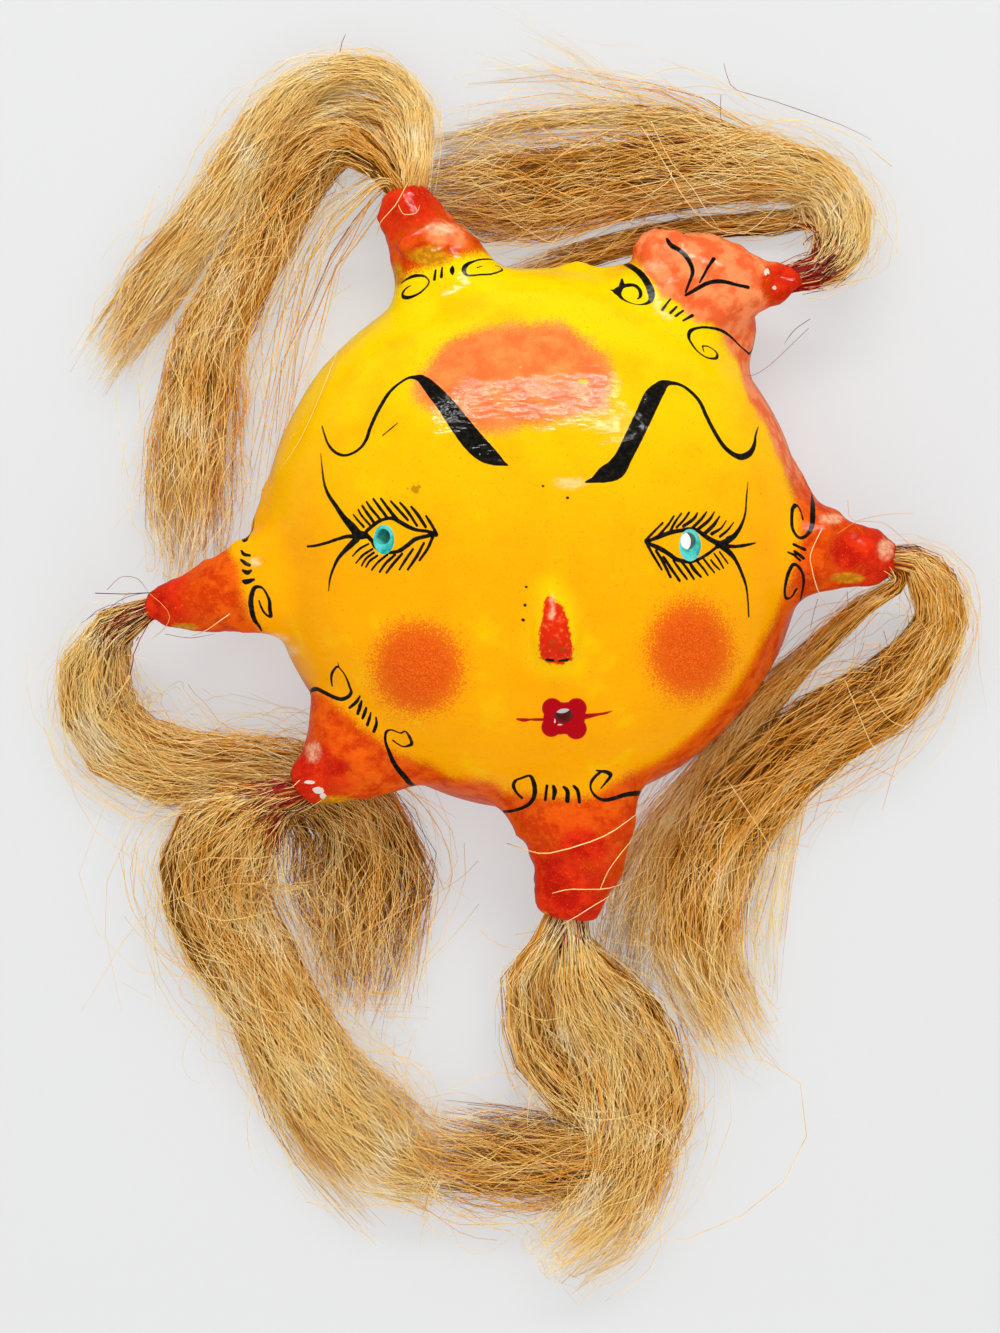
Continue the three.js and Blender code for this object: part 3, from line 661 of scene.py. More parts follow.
def within(flat, outline):
    """Each point's distance to a closed outline, below 0 inside it"""
    inside = np.zeros(len(flat), bool)
    best = np.full(len(flat), math.inf)
    for a, b in zip(outline, outline[1:] + outline[:1]):
        a, b = np.array(a), np.array(b)
        share = np.clip(((flat - a) @ (b - a)) / ((b - a) @ (b - a)), 0, 1)
        best = np.minimum(best, np.hypot(*(flat - a - share[:, None] * (b - a)).T))
        crosses = (a[1] > flat[:, 1]) != (b[1] > flat[:, 1])
        inside ^= crosses & (flat[:, 0] < a[0] + (flat[:, 1] - a[1]) * (b[0] - a[0]) / (b[1] - a[1] + 1e-12))
    return np.where(inside, -best, best)


bm = bmesh.new()
bm.from_mesh(carved)
bmesh.ops.triangulate(bm, faces=bm.faces)
surface = BVHTree.FromBMesh(bm)
black_dots = np.array([dot for line in BRUSH_STROKES for dot in stroke_dots(line, surface)])
red_dots = np.array([dot for line in LIPS for dot in stroke_dots(line, surface)])


def nearest_edge(points):
    """Each point's distance to the nearest edge of a stroke, the lips or an iris"""
    edges = [np.abs(reach_to(points, black_dots)), np.abs(reach_to(points, red_dots))]
    edges += [np.abs(lobes_edge(seen(points)))]
    edges += [np.abs(oval(seen(points), *spot) - 1) * spot[3] for spot in IRISES + PLACES["chips"]]
    return np.min(edges, axis=0)


# The faces along the edges of the strokes are halved until they are as fine as the brush's line
size = GRAIN
while size > FINEST_LINE:
    points = np.array([v.co for v in bm.verts])
    spacing = nearest_edge(points)
    spacing[points[:, 2] < RIM_BAND] = FAR
    bm.verts.index_update()
    close = set(np.flatnonzero(spacing < HALVED_WITHIN * size))
    edges = [e for e in bm.edges if e.verts[0].index in close or e.verts[1].index in close]
    edges = [e for e in edges if e.calc_length() > HALVED_WITHIN * size]
    bmesh.ops.subdivide_edges(bm, edges=edges, cuts=1)
    bmesh.ops.triangulate(bm, faces=[f for f in bm.faces if len(f.verts) > 3])
    size /= 2

points = np.array([v.co for v in bm.verts])
flat = seen(points)
ring = np.hypot(points[:, 0], points[:, 1])
on_paste = (ring > PASTE_FROM) & [past_shell(*point) > 0 for point in points]
bearing = np.degrees(np.arctan2(points[:, 1], points[:, 0]))
ink = reach_to(points, black_dots)
lips = np.minimum(reach_to(points, red_dots), np.where(points[:, 2] > FACE_LEVEL, lobes_edge(flat), FAR))
iris = np.min([(oval(flat, *one) - 1) * one[2] for one in IRISES], axis=0)
iris[points[:, 2] < FACE_LEVEL] = FAR
past_spray = ring - np.interp(bearing, SPRAY_ANGLES, SPRAY_REACH)
orange = smoothstep(past_spray, -1.5, 6.5)
blush = np.max([1 - smoothstep(oval(flat, *cheek), 0.45, 1.55) for cheek in CHEEKS], axis=0)
nose = 1 - smoothstep(within(flat, NOSE_PATCH), -1.2, 1.2)
# A painted highlight round the nose, on the face only
nose_highlight = (1 - smoothstep(within(flat, NOSE_PATCH), 0.5, 6)) * (points[:, 2] > FACE_LEVEL)
tips = np.zeros(len(points))
for ray, axis in RAYS.items():
    x, y, half = axis[-1]
    tips = np.maximum(tips, 1 - smoothstep(np.hypot(points[:, 0] - x, points[:, 1] - y), 2, RED_REACH[ray]))
forehead = [tuple(row) for row in smooth_line(FOREHEAD + FOREHEAD[:1], 5)][:-1]
salmon = 1 - smoothstep(within(flat, forehead), -5, 3.5)
salmon = np.minimum(salmon, smoothstep(oval(flat, *FLECK), 0.8, 1.3))
# The spray is rosy from the right ray up to the upper right one
rosy = smoothstep(past_spray, -1, 5) * smoothstep(bearing, 6, 20)
rosy *= 1 - smoothstep(bearing, 66, 74)
# The scraped inside has no paint
scraped = (ring / (SHELL_RADIUS - SHELL_WALL)) ** SHELL_POWER
scraped += (np.abs(points[:, 2]) / (SHELL_DEPTH - SHELL_WALL)) ** SHELL_POWER
bare = scraped < 1.03

bmesh.ops.transform(bm, matrix=Matrix.Scale(MM, 4) @ Matrix.Translation(FACE_CENTRE), verts=bm.verts)
mask_mesh = mesh_of(bm, "painted shell")
mask_mesh.shade_smooth()
mask_mesh.set_sharp_from_angle(angle=math.radians(55))
painted = {
    "ink": ink, "lips": lips, "iris": iris, "orange": orange, "tips": tips * on_paste, "salmon": salmon,
    "blush": blush, "nose": nose, "rosy": rosy, "nose_highlight": nose_highlight,
}
for name, ovals in PLACES.items():
    painted[name] = np.max([1 - smoothstep(oval(flat, *spot), 0.5, 1.5) for spot in ovals], axis=0)
for name, values in painted.items():
    mask_mesh.attributes.new(name, "FLOAT", "POINT").data.foreach_set("value", np.clip(values, -FAR, FAR))
bare_faces = np.array([all(bare[i] for i in face.vertices) for face in mask_mesh.polygons])
mask_mesh.polygons.foreach_set("material_index", bare_faces.astype(np.int32))
mask = bpy.data.objects.new("painted_mask", mask_mesh)
bpy.context.scene.collection.objects.link(mask)


def srgb(*levels):
    """A colour given as it is on a screen, 0 to 255"""
    return tuple(((v / 255 + 0.055) / 1.055) ** 2.4 if v > 10 else v / 3295 for v in levels) + (1,)


class Recipe:
    """A material's nodes, each made with its settings and its inputs"""

    def __init__(self, name):
        self.material = bpy.data.materials.new(name)
        self.material.use_nodes = True
        self.tree = self.material.node_tree
        self.finish = self.tree.nodes["Principled BSDF"]

    def put(self, socket, value):
        if isinstance(value, bpy.types.NodeSocket):
            self.tree.links.new(value, socket)
        else:
            socket.default_value = value

    def add(self, kind, inputs, out=0, **settings):
        made = self.tree.nodes.new("ShaderNode" + kind)
        for name, value in settings.items():
            setattr(made, name, value)
        for slot, value in inputs.items():
            self.put(made.inputs[slot], value)
        return made.outputs[out]

    def mix(self, share, under, over):
        return self.add("Mix", {0: share, 6: under, 7: over}, out=2, data_type="RGBA")

    def ramp(self, value, low, high, to_low=0.0, to_high=1.0):
        inputs = {0: value, 1: low, 2: high, 3: to_low, 4: to_high}
        return self.add("MapRange", inputs, interpolation_type="SMOOTHSTEP")

    def sum(self, a, b):
        return self.add("Math", {0: a, 1: b}, operation="ADD")

    def times(self, a, b):
        return self.add("Math", {0: a, 1: b}, operation="MULTIPLY")

    def swing(self, pattern, strength):
        """A pattern about its own middle, below and above 0"""
        return self.times(self.add("Math", {0: pattern, 1: 0.5}, operation="SUBTRACT"), strength)

    def cloud(self, where, scale, detail=2.0, roughness=0.5):
        inputs = {"Vector": where, "Scale": scale, "Detail": detail, "Roughness": roughness}
        return self.add("TexNoise", inputs)

    def surface(self, **inputs):
        for slot, value in inputs.items():
            self.put(self.finish.inputs[slot.replace("_", " ")], value)


# The lacquered paint, and the bare shell inside. Patterns are in millimetres.
TO_MM = (1 / MM, 1 / MM, 1 / MM)
paint = Recipe("lacquered paint")
place = paint.add("TexCoord", {}, out=3)
place = paint.add("Mapping", {"Vector": place, "Location": -FACE_CENTRE, "Scale": TO_MM})
marks = {
    name: paint.add("Attribute", {}, out=2, attribute_name=name)
    for name in painted
}
height = paint.add("SeparateXYZ", {0: place}, out=1)
patches = paint.cloud(place, 0.07, 3, 0.55)
mottle = paint.cloud(place, 0.22, 4, 0.6)
speckle = paint.cloud(place, 2.4, 2, 0.6)
brushed = paint.cloud(place, 0.9, 3, 0.6)
grit = paint.swing(speckle, 2.4)
blots = paint.add("Math", {0: mottle, 1: 0.5}, operation="SUBTRACT")


def blurred(mark, gritty, blotted):
    """A mark whose edge is broken up by the grit and the blots of the spray"""
    return paint.sum(mark, paint.sum(paint.times(grit, gritty), paint.times(blots, blotted)))


# The yellow coat, with painted light and shade: lemon at the forehead, deeper towards the chin, paler round
# the nose
yellow = paint.mix(paint.ramp(height, -14, 58), srgb(245, 164, 0), srgb(243, 207, 0))
yellow = paint.mix(paint.ramp(patches, 0.45, 0.7, 0, 0.4), yellow, srgb(238, 150, 0))
yellow = paint.mix(paint.ramp(patches, 0.42, 0.3, 0, 0.35), yellow, srgb(240, 200, 0))
yellow = paint.mix(paint.ramp(speckle, 0.7, 0.8, 0, 0.3), yellow, srgb(190, 120, 5))
# Paler round the nose: a painted highlight
yellow = paint.mix(paint.times(marks["nose_highlight"], 0.6), yellow, srgb(244, 206, 0))
# The orange spray, and the red of the rays' tips in it
spread = blurred(marks["orange"], 0.3, 0.5)
sprayed = paint.mix(paint.ramp(mottle, 0.38, 0.62), srgb(196, 52, 2), srgb(222, 88, 8))
sprayed = paint.mix(paint.ramp(brushed, 0.5, 0.75, 0, 0.4), sprayed, srgb(236, 112, 30))
reddened = paint.sum(marks["tips"], paint.times(blots, 2.2))
reddened = paint.sum(reddened, paint.times(marks["redder"], 0.6))
red = paint.ramp(paint.sum(mottle, paint.times(brushed, 0.3)), 0.5, 0.85)
red = paint.mix(red, srgb(178, 18, 4), srgb(216, 48, 12))
sprayed = paint.mix(paint.ramp(reddened, 0.35, 0.95), sprayed, red)
# The salmon patch on the forehead
patch = blurred(marks["salmon"], 0.4, 0.6)
flushed = paint.mix(paint.ramp(mottle, 0.35, 0.7), srgb(234, 108, 50), srgb(238, 136, 66))
flushed = paint.mix(paint.ramp(brushed, 0.5, 0.8, 0, 0.35), flushed, srgb(245, 160, 96))
colour = paint.mix(paint.ramp(patch, 0.12, 0.75), yellow, flushed)
colour = paint.mix(paint.ramp(spread, 0.2, 0.8), colour, sprayed)
# Coral where the spray is rosy, but not on the red tips
pink = paint.sum(paint.times(marks["tips"], -1.2), blots)
pink = paint.sum(paint.sum(marks["rosy"], marks["coral"]), pink)
coral = paint.mix(paint.ramp(mottle, 0.4, 0.6), srgb(228, 96, 46), srgb(240, 138, 84))
colour = paint.mix(paint.ramp(pink, 0.2, 0.7), colour, coral)
# Mustard patches, cheeks and the red of the nose
mustard_share = paint.ramp(paint.sum(marks["mustard"], paint.times(blots, 1.5)), 0.3, 1, 0, 0.85)
mustard = paint.mix(paint.ramp(brushed, 0.4, 0.6), srgb(176, 118, 8), srgb(206, 152, 20))
colour = paint.mix(mustard_share, colour, mustard)
cheek = paint.ramp(paint.sum(marks["blush"], paint.times(grit, 1)), 0.2, 0.8)
blush = paint.mix(paint.ramp(speckle, 0.35, 0.65), srgb(208, 60, 3), srgb(230, 104, 22))
colour = paint.mix(cheek, colour, blush)
ridge = paint.ramp(paint.sum(marks["nose"], paint.swing(brushed, 1.2)), 0.3, 0.6)
red = paint.mix(paint.ramp(brushed, 0.5, 0.8), srgb(210, 38, 8), srgb(232, 104, 50))
colour = paint.mix(ridge, colour, red)
# Painted highlights, and dirt
painted_highlight = paint.times(marks["pale"], paint.times(brushed, 2))
colour = paint.mix(paint.ramp(painted_highlight, 0.2, 1.3, 0, 0.45), colour, srgb(255, 226, 176))
dirty = paint.ramp(paint.sum(marks["dirt"], paint.swing(brushed, 2)), 0.4, 0.9, 0, 0.6)
colour = paint.mix(dirty, colour, srgb(120, 76, 8))
# Teal irises, red lips and black lines, and chips down to the ground through all of it
teal = paint.mix(paint.ramp(mottle, 0.4, 0.6), srgb(24, 150, 142), srgb(88, 200, 190))
colour = paint.mix(paint.ramp(marks["iris"], 0.06, -0.06), colour, teal)
colour = paint.mix(paint.ramp(marks["lips"], 0.07, -0.07), colour, srgb(172, 3, 16))
black = paint.mix(paint.ramp(brushed, 0.4, 0.75), srgb(12, 11, 8), srgb(34, 29, 22))
inked = paint.ramp(paint.sum(marks["ink"], paint.swing(brushed, 0.16)), 0.11, 0.01)
off_iris = paint.ramp(marks["iris"], -0.05, 0.05)
colour = paint.mix(paint.times(inked, off_iris), colour, black)
chipped = paint.ramp(paint.times(marks["chips"], paint.times(brushed, 2)), 0.62, 0.7)
colour = paint.mix(chipped, colour, srgb(216, 202, 186))
# Brush marks, the thickness of the black and long runs of lacquer stand up in the gloss
drawn_out = {"Vector": place, "Rotation": (0, 0, -0.25), "Scale": (1, 2.4, 1)}
runs = paint.cloud(paint.add("Mapping", drawn_out), 0.055, 4, 0.55)
relief = paint.sum(paint.times(brushed, 0.1), paint.times(inked, 0.12))
relief = paint.sum(relief, paint.times(runs, 3.6))
bump = paint.add("Bump", {"Height": relief, "Strength": 0.5, "Distance": 0.0005})
paint.surface(
    Base_Color=colour, Roughness=0.5, Specular_IOR_Level=0.0, Coat_Weight=0.5, Coat_Roughness=0.06,
    Coat_IOR=1.3, Normal=bump, Coat_Normal=bump,
)
husk = Recipe("scraped coconut")
place = husk.add("TexCoord", {}, out=3)
place = husk.add("Mapping", {"Vector": place, "Location": -FACE_CENTRE, "Scale": TO_MM})
grain = husk.cloud(place, 0.5, 6, 0.65)
scraped = husk.cloud(husk.add("Mapping", {"Vector": place, "Scale": (1, 1, 6)}), 0.35, 4)
brown = husk.mix(husk.ramp(grain, 0.35, 0.65), srgb(58, 34, 18), srgb(112, 74, 42))
brown = husk.mix(husk.ramp(scraped, 0.55, 0.7, 0, 0.5), brown, srgb(150, 112, 72))
husk.surface(
    Base_Color=brown, Roughness=0.72,
    Normal=husk.add("Bump", {"Height": grain, "Strength": 0.5, "Distance": 0.0006}),
)
mask_mesh.materials.append(paint.material)
mask_mesh.materials.append(husk.material)
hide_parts("mask_body")
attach(mask, "root")

# The tassels: six hanks of pale agave fibre, each glued into the tip of its ray. A hank is about two thousand
# fibres, 0.2 mm thick, that keep together in clumps, cross over one another and stray.
FIBRE_POINTS = 11
FIBRE_RADIUS = 0.1
FIBRE_STEPS = np.linspace(0, 1, FIBRE_POINTS)[None, :]
ROOT_DEPTH = 3.5  # how deep the fibre goes into the ray
OVER_TABLE = 0.25  # the middle of a fibre is never lower
# How far along it each hank has come down from the ray's height to the table
FALLS = {"upper_left": 34, "upper_right": 36, "right": 36, "bottom": 32, "lower_left": 46, "left": 32}
# The locks of each hank: how many stations of the hank's first lock it starts with, how many fibres, how
# light along it, how thick, and its own course as x, y and half width
LOCKS = {
    "upper_left": [
        (0, 700, (0.6, 0.9, 1.0, 0.85, 0.68, 0.58, 0.68), 9, [  # outer
            (-26, 84, 2.75), (-26, 91, 3.75), (-28, 99, 4), (-34, 105, 4), (-43, 106.5, 4),
            (-52, 103.5, 4.5), (-59.5, 96, 5.5), (-66, 86.5, 6.25), (-72.5, 76, 6.25), (-80, 66, 6),
            (-87, 57, 5.75), (-93, 48.5, 5.25), (-96.5, 43, 4.5),
        ]),
        (0, 770, (0.15, 0.35, 0.55, 0.58, 0.6, 0.6, 0.7), 11, [  # inner
            (-32.5, 81, 2.75), (-37, 86, 4), (-43, 89, 5.5), (-50, 86.5, 6.75), (-56.5, 78.5, 7.5),
            (-62, 67.5, 7.75), (-68, 56.5, 8), (-73.5, 45.5, 8.5), (-75.5, 34, 9), (-77.5, 22.5, 9.25),
            (-78, 11, 9.5), (-77.5, 2, 8.25), (-78.5, -4.5, 6),
        ]),
        (0, 220, (0.35, 0.65, 0.85, 0.8), 6, [  # tangle
            (-28.5, 82, 2), (-30, 88.5, 3.75), (-33, 94.5, 5), (-39, 97.5, 6.5), (-46.5, 97.5, 6.75),
            (-54, 93.5, 6.5), (-60.5, 85, 6), (-64.5, 76, 5),
        ]),
        (0, 30, (0.85, 0.85), 6, [  # curtain
            (-33.5, 79.5, 2.75), (-41.5, 74, 6.75), (-49.5, 65, 6.75), (-55, 51, 7.75), (-59, 35, 6.75),
            (-63, 13.5, 5),
        ]),
    ],
    "upper_right": [
        (0, 990, (0.6, 0.88, 0.78, 0.5, 0.3, 0.28, 0.38, 0.5), 11, [  # main
            (59, 58.5, 2.75), (64.5, 60, 4), (69.5, 66, 5.75), (70, 74, 6.5), (66, 80.5, 6.5),
            (58.5, 84, 6.75), (49.5, 85, 7.5), (38, 84.5, 8.75), (26.5, 83.5, 9), (15.5, 82, 9.25),
            (4, 80, 10), (-7.5, 79, 9.5), (-17, 79, 8.25), (-24.5, 78.5, 6),
        ]),
        (3, 210, (0.5, 0.35, 0.3, 0.35), 4, [  # lower
            (68.5, 71.5, 2), (62.5, 73.5, 2.25), (54, 72.5, 2.5), (42.5, 72, 2.5), (29, 70, 2.5),
            (15.5, 66.5, 2.75), (2.5, 62.5, 2.75), (-6.5, 59.5, 2),
        ]),
        (5, 160, (0.6, 0.55, 0.65, 0.7), 4, [  # upper
            (58, 87.5, 2.25), (48.5, 91.5, 3), (36, 96, 3.5), (24.5, 97.5, 3.5), (13, 97.5, 3),
            (-0.5, 96.5, 3.25), (-12, 94, 3.75), (-22.5, 90.5, 4),
        ]),
        (5, 20, (0.8, 0.85), 3, [  # wisps
            (57.5, 87.5, 1.75), (48, 89, 3.25), (38.5, 90, 4.5), (30.5, 94, 5.5), (21, 100, 6),
            (13, 105, 6.5), (4, 109.5, 6.5), (-4, 113.5, 6),
        ]),
        (5, 20, (0.8, 0.85), 3, [  # high_wisps
            (57.5, 89, 2.25), (48, 93.5, 3.75), (36, 99.5, 4), (24.5, 102, 4), (13, 104, 4.5),
            (1.5, 104.5, 5), (-10, 103, 5),
        ]),
    ],
    "right": [
        (0, 840, (0.5, 0.45, 0.24, 0.12, 0.22, 0.42, 0.6, 0.75), 11, [  # main
            (84.5, -5, 3.25), (89.5, -9.5, 5.25), (92.5, -17.5, 5.75), (89.5, -25.5, 6.75),
            (83, -33.5, 8.5), (72.5, -40.5, 9.5), (61.5, -47.5, 10.25), (51, -56.5, 10.25),
            (43.5, -66.5, 9.75), (39.5, -78, 9.5), (37.5, -89.5, 9.25), (39, -99.5, 7.75),
            (44.5, -110.5, 6.75),
        ]),
        (0, 460, (0.25, 0.35, 0.5, 0.65, 0.85), 6, [  # inner
            (82, -10, 1.75), (75, -15, 2.25), (68.5, -21, 2.75), (61, -28.5, 3), (53, -37, 4),
            (46.5, -46, 5), (38.5, -56.5, 6.25), (31, -66.5, 6.75), (26, -78, 7.5), (23, -89.5, 7.75),
            (22.5, -98, 6.75),
        ]),
        (7, 50, (0.6, 0.8), 4, [  # outer_wisps
            (59.5, -56.5, 4), (56, -68.5, 4.5), (53, -80, 5), (51.5, -91.5, 5), (52.5, -102, 4),
        ]),
        (9, 70, (0.6, 0.8), 4, [  # end_wisps
            (41.5, -79, 5.5), (39, -94, 6.75), (40, -105.5, 6.5), (45.5, -114.5, 4.5), (51.5, -120, 2.75),
        ]),
    ],
    "bottom": [
        (0, 400, (0.65, 0.65, 0.55, 0.42, 0.35), 10, [  # left_lobe
            (4, -90, 3.25), (-0.5, -97.5, 6.25), (-0.5, -106.5, 7), (0, -115.5, 6.5), (5.5, -123.5, 6.5),
            (12.5, -130.5, 6), (16, -137, 6.5), (9, -142.5, 7.75), (-4, -143, 9.25), (-15.5, -141, 8.75),
            (-23.5, -139.5, 6.75),
        ]),
        (0, 590, (0.65, 0.75, 0.65, 0.7, 0.9), 13, [  # right_lobe
            (9, -90.5, 3.25), (10, -97.5, 7), (13.5, -105.5, 9.75), (18, -114.5, 11.5),
            (20.5, -124.5, 12.25), (22, -135, 11.5), (20, -145.5, 10), (14.5, -154.5, 9.25),
            (7.5, -161, 6.75),
        ]),
        (0, 570, (0.55, 0.42, 0.36, 0.25, 0.22, 0.32), 12, [  # sweep
            (10, -90, 2.75), (15.5, -97.5, 4.5), (23.5, -106.5, 6), (29, -116.5, 6.5), (31, -127, 6.25),
            (26.5, -136, 6.5), (16.5, -141, 8.25), (4, -142.5, 9.75), (-8.5, -142, 10.25),
            (-21.5, -139.5, 8.75),
        ]),
    ],
    "lower_left": [
        (0, 1430, (0.35, 0.45, 0.5, 0.56, 0.75, 0.85), 12, [  # main
            (-51.5, -57.5, 2.75), (-59, -60, 5.75), (-66, -66, 12), (-71.5, -74, 13), (-71.5, -83.5, 12),
            (-67, -93, 11.25), (-61, -103, 10.5), (-54.5, -113.5, 9.75), (-48.5, -123.5, 10),
            (-41, -132.5, 10.25), (-32.5, -139.5, 9.25), (-25, -143, 6.75),
        ]),
        (4, 70, (0.6, 0.75), 4, [  # stray_lock
            (-75, -80, 4), (-72.5, -94, 3.25), (-65.5, -112, 3.25), (-59.5, -127, 3.75), (-51.5, -140, 4),
            (-42.5, -151, 3.75), (-37.5, -156, 2.75),
        ]),
    ],
    "left": [
        (0, 990, (0.6, 0.8, 0.74, 0.6, 0.4, 0.34, 0.38), 9, [  # loop
            (-89.5, -17.5, 3), (-96, -22.5, 5.75), (-99.5, -31, 8.25), (-99.5, -39, 8.75),
            (-95, -46.5, 8.75), (-85.5, -51.5, 8.75), (-74, -52.5, 8.25), (-62.5, -52, 7.75),
            (-50.5, -54.5, 7.75), (-41, -61, 8.25), (-36.5, -70, 10.5), (-36, -80, 12), (-37.5, -91, 10.5),
            (-38.5, -102, 8.25),
        ]),
        (8, 180, (0.5, 0.5), 5, [  # sparse_fan
            (-55.5, -59, 6.75), (-51, -68.5, 8.25), (-52, -78, 8.25), (-49, -89.5, 6.5), (-43, -100.5, 4),
        ]),
    ],
}


def lock_course(rows, thick, fall):
    """A lock at even steps: the run along it, its middle, directions, half width and half thickness"""
    line = smooth_line(rows, 12)
    run = np.concatenate([[0], np.cumsum(np.hypot(*np.diff(line[:, :2], axis=0).T))])
    even = np.linspace(0, run[-1], int(run[-1] * 1.5) + 1)
    line = np.stack([np.interp(even, run, line[:, i]) for i in range(3)], axis=1)
    # Where a lock is narrow it is thin as well
    half_thick = np.minimum(thick, 1.6 * line[:, 2] + 1) / 2
    level = RAY_HEIGHT + (half_thick - RAY_HEIGHT) * smoothstep(even, ROOT_DEPTH, ROOT_DEPTH + fall)
    middle = np.column_stack([line[:, :2], level])
    ahead = np.gradient(middle, axis=0)
    ahead /= np.linalg.norm(ahead, axis=1)[:, None]
    side = np.column_stack([ahead[:, 1], -ahead[:, 0], 0 * even])
    side /= np.linalg.norm(side, axis=1)[:, None]
    return SimpleNamespace(
        run=even, length=even[-1], middle=middle, ahead=ahead, side=side, up=np.cross(side, ahead),
        half_wide=line[:, 2], half_thick=half_thick,
    )


def waves(rng, along, lengths, size):
    """Slow waves of about these lengths for each row of `along`"""
    total = 0
    for length in lengths:
        phase = rng.uniform(0, 2 * math.pi, (len(along), 1))
        own_length = length * rng.uniform(0.75, 1.3, (len(along), 1))
        total = total + np.sin(2 * math.pi * along / own_length + phase)
    return size * total / len(lengths) ** 0.5


def laid(course, along, across, above, rough_across=0, rough_above=0):
    """Fibres laid along a lock, placed across and above its middle in shares of its width and thickness"""
    wide = np.interp(along, course.run, course.half_wide) * across + rough_across
    high = np.interp(along, course.run, course.half_thick) * above + rough_above
    past_end = np.maximum(along - course.length, 0)
    made = []
    for i in range(3):
        middle, side, up = (
            np.interp(along, course.run, part[:, i]) for part in (course.middle, course.side, course.up)
        )
        made.append(middle + course.ahead[-1, i] * past_end + side * wide + up * high)
    made[2] = np.maximum(made[2], OVER_TABLE)
    return np.stack(made, axis=2)


def lit(light, share):
    """How light a lock is at a share of its length"""
    return np.interp(share, np.linspace(0, 1, len(light)), light)


def combed(rng, course, count, light):
    """The fibres that make up a lock, and how light each is"""
    run, length = course.run, course.length
    # A fibre's points lie closer together where the lock bends
    bend = np.linalg.norm(np.gradient(course.ahead, axis=0), axis=1)
    weight = np.concatenate([[0], np.cumsum(bend[1:] + 0.7 * bend.mean() + 1e-3)])
    clumps = max(6, count // 14) if count > 150 else count  # thin locks have none
    group = rng.integers(0, clumps, count)
    group_end = length * (1 - np.abs(rng.normal(0, 0.09, clumps))) + rng.uniform(-3, 6, clumps)
    ends = group_end[group] + rng.normal(0, 0.035 * length, count)
    starts = rng.uniform(0, 1, count)
    first = np.interp(starts, run, weight)[:, None]
    last = np.interp(np.minimum(ends, length), run, weight)[:, None]
    along = np.interp(first + (last - first) * FIBRE_STEPS, weight, run)
    along = along + FIBRE_STEPS**3 * np.maximum(ends - length, 0)[:, None]

    # Each clump has a place across and above the lock's middle, and wanders round it
    turn = rng.uniform(0, 2 * math.pi, clumps)
    out = np.sqrt(rng.uniform(0, 1, clumps)) * 0.85
    steps = np.linspace(0, length, 60)[None, :].repeat(clumps, axis=0)
    wander = waves(rng, steps, (40, 75), 0.2), waves(rng, steps, (35, 70), 0.26)
    centre = [(out * f(turn))[:, None] + drift for f, drift in zip((np.cos, np.sin), wander)]
    centre = [np.stack([np.interp(a, steps[0], c[g]) for a, g in zip(along, group)]) for c in centre]
    # Its fibres keep to it, and spread a little at their ends
    near_end = smoothstep(along / np.maximum(ends, 1)[:, None], 0.6, 1)
    keep = (0.08 + 0.22 * rng.uniform(0, 1, clumps)[group][:, None] ** 2) * (1 + 0.3 * near_end)
    across = centre[0] + rng.normal(0, 1, (count, 1)) * keep
    above = centre[1] + rng.normal(0, 1, (count, 1)) * keep
    big = np.maximum(np.hypot(across, above) / 1.02, 1)
    across, above = across / big * (1 + 0.3 * near_end), above / big
    rough = [waves(rng, along, (40, 80), size) for size in (0.3, 0.25)]
    # Fibres higher in the lock are a little lighter: painted light, as its top is lit and its inside shaded
    tone = 0.1 * above.mean(axis=1) + rng.normal(0, 0.17, clumps)[group] + rng.normal(0, 0.17, count)
    return laid(course, along, across, above, *rough), tone[:, None] + lit(light, along / length)


def loose(rng, course, count, light):
    """Fibres that have worked loose and lie across a lock, on top of it"""
    length = course.length
    start = rng.uniform(-0.05, 0.88, (count, 1)) * length
    along = np.maximum(start + rng.uniform(14, 60, (count, 1)) * FIBRE_STEPS, 0)
    along = np.minimum(along, length + rng.uniform(0, 7, (count, 1)))
    middle = np.clip(rng.normal(0, 0.65, (count, 1)), -1.2, 1.2)
    across = middle + rng.normal(0, 1.2, (count, 1)) * (FIBRE_STEPS - 0.5)
    across = across + rng.normal(0, 0.4, (count, 1)) * np.sin(math.pi * FIBRE_STEPS)
    above = np.sqrt(np.maximum(1.15 - across**2, 0.03)) - 0.25 * np.abs(2 * FIBRE_STEPS - 1) ** 4
    rough = waves(rng, along, (16, 30), 0.5), waves(rng, along, (20, 40), 0.35)
    tone = lit(light, along / length) * 0.7 + rng.uniform(0.25, 0.6, (count, 1))
    return laid(course, along, across, above, *rough), tone


def straying(rng, course, count):
    """Fibres that part from a lock in wide loops, and how light each is"""
    starts = rng.uniform(0.02, 0.9, (count, 1)) * course.length
    along = starts + rng.uniform(12, 60, (count, 1)) * FIBRE_STEPS
    along = np.minimum(along, course.length + rng.uniform(0, 8, (count, 1)))
    away = rng.choice([-1, 1], (count, 1))
    bow = np.sin(math.pi * FIBRE_STEPS * rng.uniform(0.5, 1.5, (count, 1)))
    bow = bow * rng.exponential(0.36, (count, 1))
    across = away * (0.8 + bow + FIBRE_STEPS**2 * rng.uniform(-0.9, 0.9, (count, 1)))
    above = rng.uniform(-0.5, 1.1, (count, 1)) + 0 * FIBRE_STEPS
    rough = waves(rng, along, (18, 34), 0.9), waves(rng, along, (20, 45), 1.2)
    tone = rng.uniform(0.7, 0.87, (count, 1)) + 0 * FIBRE_STEPS
    return laid(course, along, across, above, *rough), tone


LOOSE_HEIGHT = 14  # of a single fibre where nothing is under it


